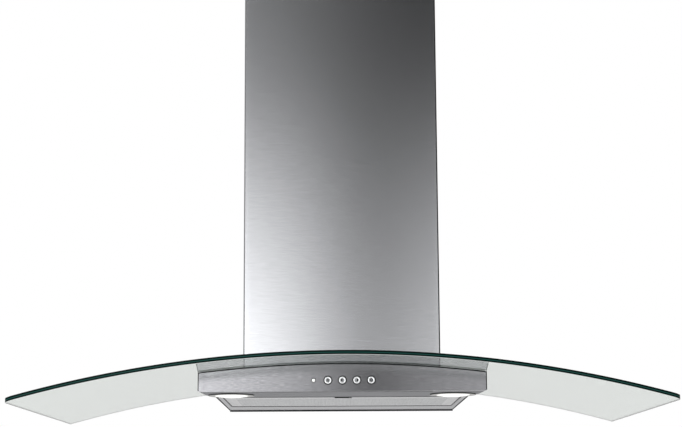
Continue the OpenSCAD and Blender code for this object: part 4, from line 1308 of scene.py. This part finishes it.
@dataclass
class GreaseFilter(Assembly):
    """The hinged filter: a folded frame, expanded mesh in it and the latch in its grip."""

    half: float = 167.7
    front: float = -272.7
    rear: float = -99.3
    first_sheet: float = 0.15
    last_sheet: float = 7.3
    sheet_t: float = 0.6
    cell: Plan = (11.0, 5.5)
    strand: float = 1.3
    selvedge: float = 9.0
    # Half width and rear of the mesh's notch round the grip
    notch: Plan = (14.8, -256.7)
    # Half width, front and rear of the grip, and of the latch's tab in it
    grip: Point = (11.5, -277.0, -261.9)
    tab: Point = (10.9, -274.9, -273.1)
    tab_cover: float = 0.8
    grip_margin: float = 0.1
    mesh_crease: float = 20.0
    sheet_arris: float = 0.5
    latch_arris: float = 0.2
    finger_lip: float = 1.1
    spring_turns: float = 7.0
    spring_ends: Plan = (-273.0, -259.0)
    spring_z: float = -173.7
    coil_r: float = 1.1
    wire_r: float = 0.3
    latch_travel: float = 5.0
    grip_roof: float = 8.1
    hem_half: float = 175.7
    hem_front: float = -280.7
    hem_rear: float = -91.3
    hem_w: float = 0.9
    hem_h: float = 0.8

    def expanded(self, z: float, name: str) -> bpy.types.Mesh:
        """Make one sheet of expanded mesh: rows of diamonds, every second row set off by half a cell.

        Args:
            z: The height of its middle.
            name: The mesh's name.

        Returns:
            The sheet, without the diamonds that would lie in the notch.
        """
        long_way, short_way = self.cell
        columns = int(2 * self.half / long_way)
        rows = int((self.rear - self.front) / short_way * 2) - 1
        maker = Generator("expanded_mesh")
        cell_x = maker.size("Cell length", long_way * MM)
        cell_y = maker.size("Cell width", short_way * MM)
        strand = maker.size("Strand width", self.strand * MM)
        thick = maker.size("Strand thickness", self.sheet_t * MM)
        across = maker.size("Cells in a row", columns)
        deep = maker.size("Rows", rows)
        tree = maker.tree
        total = add(tree, "ShaderNodeMath", {0: across, 1: deep}, operation="MULTIPLY")
        line = add(tree, "GeometryNodeMeshLine", {"Count": total, "Offset": (0, 0, 0)})
        index = add(tree, "GeometryNodeInputIndex")
        column = add(tree, "ShaderNodeMath", {0: index, 1: across}, operation="MODULO")
        order = add(tree, "ShaderNodeMath", {0: index, 1: across}, operation="DIVIDE")
        row = add(tree, "ShaderNodeMath", {0: order}, operation="FLOOR")
        odd = add(tree, "ShaderNodeMath", {0: row, 1: 2.0}, operation="MODULO")
        shift = add(tree, "ShaderNodeMath", {0: odd, 1: 0.5}, operation="MULTIPLY")
        shifted = add(tree, "ShaderNodeMath", {0: column, 1: shift}, operation="ADD")
        wide = add(tree, "ShaderNodeMath", {0: across, 1: 0.5}, operation="SUBTRACT")
        middle = add(tree, "ShaderNodeMath", {0: wide, 1: 2.0}, operation="DIVIDE")
        left = add(tree, "ShaderNodeMath", {0: middle, 1: 0.5}, operation="SUBTRACT")
        aside = add(tree, "ShaderNodeMath", {0: shifted, 1: left}, operation="SUBTRACT")
        x = add(tree, "ShaderNodeMath", {0: aside, 1: cell_x}, operation="MULTIPLY")
        gaps = add(tree, "ShaderNodeMath", {0: deep, 1: 1.0}, operation="SUBTRACT")
        fore = add(tree, "ShaderNodeMath", {0: gaps, 1: 2.0}, operation="DIVIDE")
        along = add(tree, "ShaderNodeMath", {0: row, 1: fore}, operation="SUBTRACT")
        pace = add(tree, "ShaderNodeMath", {0: cell_y, 1: 0.5}, operation="MULTIPLY")
        y = add(tree, "ShaderNodeMath", {0: along, 1: pace}, operation="MULTIPLY")
        centre = (self.front + self.rear) / 2 * MM
        back = add(tree, "ShaderNodeMath", {0: y, 1: centre}, operation="ADD")
        spot = add(tree, "ShaderNodeCombineXYZ", {0: x, 1: back, 2: z * MM})
        points = add(tree, "GeometryNodeSetPosition", {"Geometry": line, "Position": spot})
        half_w, wall = self.notch
        parts = add(tree, "ShaderNodeSeparateXYZ", {0: add(tree, "GeometryNodeInputPosition")})
        away = add(tree, "ShaderNodeMath", {0: parts.outputs[0]}, operation="ABSOLUTE")
        beside = add(tree, "ShaderNodeMath", {0: away, 1: (half_w + long_way / 2) * MM},
                     operation="LESS_THAN")
        before = add(tree, "ShaderNodeMath", {0: parts.outputs[1], 1: (wall + short_way / 2) * MM},
                     operation="LESS_THAN")
        in_notch = add(tree, "ShaderNodeMath", {0: beside, 1: before}, operation="MULTIPLY")
        kept = add(tree, "GeometryNodeDeleteGeometry", {"Geometry": points, "Selection": in_notch},
                   domain="POINT")
        loop = add(tree, "GeometryNodeCurvePrimitiveCircle", {"Resolution": 4, "Radius": 0.5})
        size = add(tree, "ShaderNodeCombineXYZ", {0: cell_x, 1: cell_y, 2: 1.0})
        diamond = add(tree, "GeometryNodeTransform", {"Geometry": loop, "Scale": size})
        bar_size = add(tree, "ShaderNodeCombineXYZ", {0: strand, 1: thick, 2: 1.0})
        bar = add(tree, "GeometryNodeTransform", {"Geometry": loop, "Scale": bar_size})
        ring = add(tree, "GeometryNodeCurveToMesh", {"Curve": diamond, "Profile Curve": bar})
        copies = add(tree, "GeometryNodeInstanceOnPoints", {"Points": kept, "Instance": ring})
        return maker.run(name, copies, self.rack["filter_aluminium"])

    def weave(self) -> bpy.types.Mesh:
        """Join both expanded sheets, the plain sheet between them and the selvedge.

        Returns:
            The filter's mesh.
        """
        joined = Draft()
        for i, height in enumerate((self.first_sheet, self.last_sheet)):
            middle = UNDERSIDE_Z + height + self.sheet_t / 2
            joined.mesh.from_mesh(self.expanded(middle, f"mesh_sheet_{i}"))
        joined.mesh.transform(Matrix.Scale(1 / MM, 4))
        half, front, rear, (notch, wall) = self.half, self.front, self.rear, self.notch
        plan = [(-half, front), (-notch, front), (-notch, wall), (notch, wall), (notch, front),
                (half, front), (half, rear), (-half, rear)]
        between = (self.first_sheet + self.last_sheet) / 2
        joined.plate(plan, [], self.sheet_t, Matrix.Translation((0, 0, UNDERSIDE_Z + between)))
        w = self.selvedge
        window = rectangle((-half + w, wall + w), (half - w, rear - w))
        joined.plate(plan, [window], self.sheet_t / 2,
                     Matrix.Translation((0, 0, UNDERSIDE_Z + self.first_sheet)))
        return joined.mesh_data("expanded_mesh", smooth_below=self.mesh_crease)

    def frame(self) -> bpy.types.Mesh:
        """Soften the folded frame, paint its grip black for the shade in the recess and add the hem along its
        sides and rear.

        Returns:
            The mesh, with the hem at index 1 and the grip's painted shade at index 2.
        """
        joined = Draft(self.merged_copy("filter_frame").softened("frame_sheet", self.sheet_arris))
        count = len(joined.mesh.faces)
        grip_half, grip_front, grip_rear = self.grip
        for face in joined.mesh.faces:
            middle = face.calc_center_median()
            in_grip = (abs(middle.x) < grip_half + self.grip_margin
                       and grip_front - self.grip_margin < middle.y < grip_rear + self.grip_margin)
            # The grip's faces take black plastic: painted shade in the recess
            face.material_index = 2 * int(in_grip and middle.z < UNDERSIDE_Z + self.grip_roof)
        half, front, rear, w = self.hem_half, self.hem_front, self.hem_rear, self.hem_w
        hem = [(-half, front), (-half, rear), (half, rear), (half, front), (half - w, front),
               (half - w, rear - w), (-half + w, rear - w), (-half + w, front)]
        joined.plate(hem, [], self.hem_h, Matrix.Translation((0, 0, UNDERSIDE_Z - self.hem_h)))
        joined.mesh.faces.ensure_lookup_table()
        for face in joined.mesh.faces[count:]:
            face.material_index = 1
        return joined.mesh_data("frame_sheet")

    def spring(self) -> bpy.types.Mesh:
        """Wind the latch's spring between its tab and the grip's rear wall.

        Returns:
            The mesh.
        """
        start, end = self.spring_ends
        coil = Generator("coil_spring")
        turns = coil.size("Turns", self.spring_turns)
        length = coil.size("Length", (end - start - 2 * self.wire_r) * MM)
        radius = coil.size("Coil radius", self.coil_r * MM)
        wire = coil.size("Wire radius", self.wire_r * MM)
        tree = coil.tree
        helix = add(tree, "GeometryNodeCurveSpiral", {"Resolution": 24, "Rotations": turns, "Height": length,
                                                      "Start Radius": radius, "End Radius": radius})
        laid = add(tree, "GeometryNodeTransform", {
            "Geometry": helix, "Rotation": (math.radians(-90), 0, 0),
            "Translation": (0, (start + self.wire_r) * MM, self.spring_z * MM)})
        ring = add(tree, "GeometryNodeCurvePrimitiveCircle", {"Resolution": 8, "Radius": wire})
        tube = add(tree, "GeometryNodeCurveToMesh", {"Curve": laid, "Profile Curve": ring,
                                                     "Fill Caps": True})
        wound = coil.run("latch_spring_coil", tube, self.rack["zinc_steel"])
        wound.polygons.foreach_set("use_smooth", [True] * len(wound.polygons))
        return wound

    def latch(self) -> bpy.types.Mesh:
        """Soften the latch and let its tab end in a lip for the finger, just below the frame.

        Returns:
            The mesh.
        """
        draft = self.merged_copy("filter_latch")
        half, front, rear = self.tab
        draft.plate(rectangle((-half, front), (half, rear)), [], self.finger_lip + self.tab_cover,
                    Matrix.Translation((0, 0, UNDERSIDE_Z - self.finger_lip)))
        return draft.softened("latch_moulding", self.latch_arris)

    def build(self) -> None:
        """Make the mesh, the frame, the latch and its spring."""
        self.piece(self.weave(), "filter_weave", "filter_aluminium", "filter", "filter_mesh")
        # The hem's slit is painted near black for the shade it holds, so it reads as a dark line
        hem_shade = SheetMetal("aluminium_hem_painted_shade", "#39393b", "#454547", 0.5, 3.0).build()
        self.piece(self.frame(), "filter_frame_finished", "filter_aluminium", "filter", "filter_frame",
                   also=[hem_shade, self.rack["black_plastic"]])
        self.piece(self.latch(), "filter_latch_finished", "black_plastic", "latch", "filter_latch")
        spring = self.piece(self.spring(), "latch_spring_coil", "zinc_steel", "filter", "latch_spring")
        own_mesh(spring)


@dataclass
class Dressing(Assembly):
    """The inner and rear pieces: folded sheet with softened edges, and the rest as it is."""

    softened: tuple[tuple[str, float], ...] = (("motor_box", 0.5), ("wall_plate", 0.4), ("chimney_trim", 0.3),
                                               ("junction_box", 0.8), ("junction_lid", 0.8),
                                               ("outlet_adaptor", 0.6), ("chimney_bracket", 0.4))

    def build(self) -> None:
        """Soften what shows from behind and from above, and dress every node that is left."""
        slots = {row["node"]: row["material_slot"] for row in frame["record"]["subparts"]}
        for node, width in self.softened:
            self.rounded_copy(node, width, slots[node])
        for node, placed in frame["nodes"].items():
            placed.data.materials.clear()
            placed.data.materials.append(self.rack[slots[node]])


# The studio and the view


@dataclass
class View:
    """The camera, placed as the photograph's was, in millimetres and degrees."""

    place: Point = (-10.1, -2444.2, -345.0)
    pitch: float = 8.854
    yaw: float = -0.246
    roll: float = -0.303
    lens: float = 77.41
    shift_y: float = 0.10
    sensor: float = 36.0
    clip: Plan = (0.05, 60.0)

    def build(self) -> None:
        """Make the camera and give it to the scene."""
        data = bpy.data.cameras.new("view")
        data.lens, data.sensor_width, data.shift_y = self.lens, self.sensor, self.shift_y
        data.clip_start, data.clip_end = self.clip
        camera = linked("view", data)
        turn = (Matrix.Rotation(math.radians(self.yaw), 4, "Z")
                @ Matrix.Rotation(math.radians(90 + self.pitch), 4, "X")
                @ Matrix.Rotation(math.radians(self.roll), 4, "Z"))
        camera.matrix_world = Matrix.Translation(Vector(self.place) * MM) @ turn
        bpy.context.scene.camera = camera


@dataclass
class Studio:
    """A pale floor far below the hood, soft light all round and one large lamp."""

    floor_z: float = -900.0
    floor_half: float = 9000.0
    floor_colour: str = "#f6f6f5"
    floor_roughness: float = 0.9
    floor_lift: float = 0.12
    # From here to here, away from the hood, the floor fades into the white behind it
    fading: Plan = (2500.0, 8000.0)
    even_light: float = 0.85
    # What upright steel mirrors, from left to right: (sideways part of the direction, brightness)
    floorward: tuple[Plan, ...] = ((-0.45, 0.7), (-0.25, 1.6), (-0.1, 7.5), (-0.078, 6), (-0.05, 3),
                                   (-0.024, 1.5), (0.004, 0.9), (0.034, 0.8), (0.065, 2.5), (0.1, 3.6),
                                   (0.25, 0.8), (0.45, 0.7))
    horizon: tuple[Plan, ...] = ((-0.45, 0.7), (-0.25, 1.6), (-0.1, 2.9), (-0.065, 2.1), (-0.03, 1.6),
                                 (0, 0.77), (0.025, 0.28), (0.06, 0.82), (0.1, 1.2), (0.25, 0.8),
                                 (0.45, 0.7))
    higher: tuple[Plan, ...] = ((-0.45, 0.7), (-0.25, 0.3), (-0.07, 0.29), (-0.03, 0.15), (0.02, 0.058),
                                (0.06, 0.011), (0.25, 0.2), (0.45, 0.7))
    # Heights of the direction: where the first row passes into the second, and that into the open ceiling
    passing: Plan = (0.1, 0.28)
    opening: Plan = (0.6, 0.85)
    ceiling: float = 0.8
    # The cards' feet, where the pale floor lights them, and the floor's far edge
    lowering: Plan = (0.0, -0.06)
    footing: Plan = (-0.12, -0.14)
    below: float = 0.78
    # Behind the hood it is even, from this far back
    behind: Plan = (-0.5, -0.1)
    lamp_place: Point = (-1900.0, -1900.0, 1700.0)
    lamp_target: Point = (0.0, -200.0, 0.0)
    lamp_size: float = 1500.0
    lamp_watts: float = 35.0

    def floor(self) -> None:
        """Lay the floor, which lets views from below pass."""
        draft, h = Draft(), self.floor_half
        draft.mesh.faces.new([draft.mesh.verts.new((x, y, self.floor_z))
                              for x, y in rectangle((-h, -h), (h, h))])
        plane = linked("floor", draft.mesh_data("floor"))
        material = bpy.data.materials.new("pale_floor_paint")
        material.use_nodes = True
        tree = material.node_tree
        shader = tree.nodes["Principled BSDF"]
        # The lift and the fading are for the eye only: they put no light on the hood
        seen = add(tree, "ShaderNodeLightPath").outputs["Is Camera Ray"]
        lift = add(tree, "ShaderNodeMath", {0: seen, 1: self.floor_lift}, operation="MULTIPLY")
        feed(tree, shader, {"Base Color": linear(self.floor_colour), "Roughness": self.floor_roughness,
                            "Emission Strength": lift})
        here = add(tree, "ShaderNodeNewGeometry")
        away = add(tree, "ShaderNodeVectorMath", {0: here.outputs["Position"]}, operation="LENGTH")
        near, far = self.fading
        share = add(tree, "ShaderNodeMapRange", {0: away.outputs["Value"], 1: near * MM, 2: far * MM})
        fade = add(tree, "ShaderNodeMath", {0: share, 1: seen}, operation="MULTIPLY")
        white = add(tree, "ShaderNodeEmission")
        faded = add(tree, "ShaderNodeMixShader", {0: fade, 1: shader, 2: white})
        clear = add(tree, "ShaderNodeBsdfTransparent")
        mix = add(tree, "ShaderNodeMixShader", {0: here.outputs["Backfacing"], 1: faded, 2: clear})
        feed(tree, tree.nodes["Material Output"], {"Surface": mix})
        plane.data.materials.append(material)

    def cards(self, tree: bpy.types.NodeTree, sideways: bpy.types.NodeSocket,
              levels: Sequence[Plan]) -> bpy.types.NodeSocket:
        """Return the brightness of a row of soft cards.

        Args:
            tree: The world's tree.
            sideways: The sideways part of the direction, from 0 at the left to 1 at the right.
            levels: Where each card's middle is, from -1 to 1, and its brightness.

        Returns:
            The brightness in that direction.
        """
        ramp = add(tree, "ShaderNodeValToRGB", {0: sideways})
        ramp.color_ramp.interpolation = "EASE"
        elements = ramp.color_ramp.elements
        most = max(level for _, level in levels)
        while len(elements) < len(levels):
            elements.new(1.0)
        for element, (side, level) in zip(elements, levels):
            element.position, element.color = (side + 1) / 2, (level / most,) * 3 + (1.0,)
        return add(tree, "ShaderNodeMath", {0: ramp.outputs[0], 1: most}, operation="MULTIPLY").outputs[0]

    def world(self) -> None:
        """Make the surroundings: white to the eye and through glass, shaded as steel mirrors them."""
        world = bpy.data.worlds.new("studio")
        world.use_nodes = True
        tree = world.node_tree
        tree.nodes.clear()
        way = add(tree, "ShaderNodeTexCoord")
        parts = add(tree, "ShaderNodeSeparateXYZ", {0: way.outputs["Generated"]})
        sideways = add(tree, "ShaderNodeMapRange", {0: parts.outputs[0], 1: -1.0, 2: 1.0}).outputs[0]
        rise = parts.outputs[2]
        around = self.cards(tree, sideways, self.horizon)
        higher, floorward = [self.cards(tree, sideways, row) for row in (self.higher, self.floorward)]
        for measure, (start, end), brightness in ((rise, self.passing, higher),
                                                  (rise, self.opening, self.ceiling),
                                                  (rise, self.lowering, floorward),
                                                  (parts.outputs[1], self.behind, self.ceiling),
                                                  (rise, self.footing, self.below)):
            share = add(tree, "ShaderNodeMapRange", {0: measure, 1: start, 2: end})
            around = add(tree, "ShaderNodeMix", {0: share, 2: around, 3: brightness})
        path = add(tree, "ShaderNodeLightPath")
        met_metal = add(tree, "ShaderNodeMath", {0: path.outputs["Glossy Depth"], 1: 1.0},
                        operation="MINIMUM", use_clamp=True)
        mirrored = add(tree, "ShaderNodeMix", {0: met_metal, 2: 1.0, 3: around})
        level = add(tree, "ShaderNodeMix", {0: path.outputs["Is Diffuse Ray"], 2: mirrored,
                                            3: self.even_light})
        light = add(tree, "ShaderNodeBackground", {"Color": (1, 1, 1, 1), "Strength": level})
        add(tree, "ShaderNodeOutputWorld", {"Surface": light})
        # A ray that the lamp sampling sends has no kind, so steel would mirror the even light too
        world.cycles.sampling_method = "NONE"
        bpy.context.scene.world = world

    def lamp(self) -> None:
        """Hang one square soft lamp that faces the hood."""
        data = bpy.data.lights.new("soft_lamp", "AREA")
        data.shape, data.size, data.energy = "SQUARE", self.lamp_size * MM, self.lamp_watts
        lamp = linked("soft_lamp", data)
        # Steel mirrors the cards alone: the lamp's own image would bleach a whole face
        lamp.visible_glossy = False
        start, aim = Vector(self.lamp_place) * MM, Vector(self.lamp_target) * MM
        turn = (aim - start).to_track_quat("-Z", "Y").to_matrix().to_4x4()
        lamp.matrix_world = Matrix.Translation(start) @ turn

    def build(self) -> None:
        """Set up the studio."""
        bpy.context.scene.view_settings.view_transform = "Standard"
        self.floor()
        self.world()
        self.lamp()


def finishes() -> dict[str, bpy.types.Material]:
    """Make every finish.

    Returns:
        The materials, by the record's material slot.
    """
    return {
        # Float glass: clear, faintly green, mirrors strongly at a flat angle
        "canopy_glass": ClearGlass("float_glass", "#dfe6e2").build(),
        # Stainless steel brushed round the chimney: every reflection is smeared up and down
        "chimney_steel": BrushedSteel("stainless_steel_brushed", "#c5c6c9", "#d0d1d4", 0.15, 0.6,
                                      Grain.LEVEL, band=0.9, streak=16.0, unevenness=0.015,
                                      scratch_depth=0.00003).build(),
        # The same steel with a streakier face, its colour painted darker for the shade and dark reflection on
        # the front panel
        "panel_steel": BrushedSteel("stainless_steel_brushed_painted_darker", "#7c7c7f", "#9a9a9d", 0.12, 0.7,
                                    Grain.LEVEL, band=0.9, streak=9.0, unevenness=0.03,
                                    scratch_depth=0.0001).build(),
        # Stainless steel brushed along its length: a soft satin underside
        "body_steel": BrushedSteel("stainless_steel_satin", "#bababc", "#c2c2c4", 0.38, 0.5, Grain.ACROSS,
                                   flat_angle="#e4e4e6").build(),
        # Aluminium as rolled: bright satin, a little uneven
        "filter_aluminium": SheetMetal("aluminium_rolled", "#bcbcbe", "#cbcbcd", 0.4, 6.0).build(),
        # Pressed aluminium, brighter inside the cups
        "bare_aluminium": SheetMetal("aluminium_pressed", "#d2d3d4", "#e0e1e2", 0.25, 9.0).build(),
        # Chrome plate on a satin base: bright, with soft reflections
        "button_chrome": SheetMetal("chrome_satin_plated", "#dcdddf", "#e8e9ea", 0.2, 2.5,
                                    depth=0.002).build(),
        # Satin nickel plate: bright, slightly warm
        "lamp_rim_metal": SheetMetal("nickel_satin_plated", "#8f8e8c", "#9d9c9a", 0.3, 4.0,
                                     depth=0.003).build(),
        # Acid-frosted glass: white and soft, no clear view through it
        "lens_glass": ClearGlass("frosted_glass", "#fbfbf8", 0.5, 0.75, glow=0.3).build(),
        # Quartz capsule: see-through and glossy
        "bulb_glass": ClearGlass("quartz_glass", "#f4f4ee", 0.02).build(),
        # Zinc-plated sheet: grey with faint crystals
        "zinc_steel": SheetMetal("steel_zinc_plated", "#b0b3b5", "#bcbfc1", 0.4, 9.0, crystals=True).build(),
        # Enamelled copper wire: warm satin ridges
        "copper_winding": WoundWire("copper_enamelled", "#7a3d1c", "#b5672f").build(),
        # EPDM rubber: near black and dull
        "black_rubber": Moulded("epdm_rubber", "#141516", "#1d1e1f", 0.8, 0.8, 0.03, shine=0.2).build(),
        # ABS moulded in a spark-eroded tool: black with a fine grit
        "black_plastic": Moulded("abs_black", "#131415", "#1d1e20", 0.7, 0.5, 0.02, shine=0.15).build(),
        # ABS, off-white: a soft even sheen
        "white_plastic": Moulded("abs_white", "#efefec", "#f5f5f2", 0.4, 0.6, 0.01).build(),
        # Steatite ceramic with a glaze: cream, with a clear gloss over it
        "white_ceramic": Moulded("steatite_glazed", "#e4dfd2", "#eeeadf", 0.25, 1.5, 0.02, coat=0.5).build(),
        # Glass-epoxy board under green solder mask: deep green with a low gloss
        "circuit_board": Moulded("epoxy_board_green", "#1b5a33", "#226c3e", 0.35, 1.2, 0.01).build(),
    }


def main() -> None:
    """Build the view, the studio and the hood's assemblies in order."""
    logging.basicConfig(level=logging.INFO, format="%(message)s")
    View().build()
    Studio().build()
    rack = finishes()
    for kind in (Canopy, Chimney, Body, Controls, Lamps, GreaseFilter, Dressing):
        assembly = kind(rack)
        assembly.build()
        for placed in assembly.made:
            LOG.info("%s: %s, %d faces", kind.__name__, placed.name, len(placed.data.polygons))


if __name__ == "__main__":
    main()
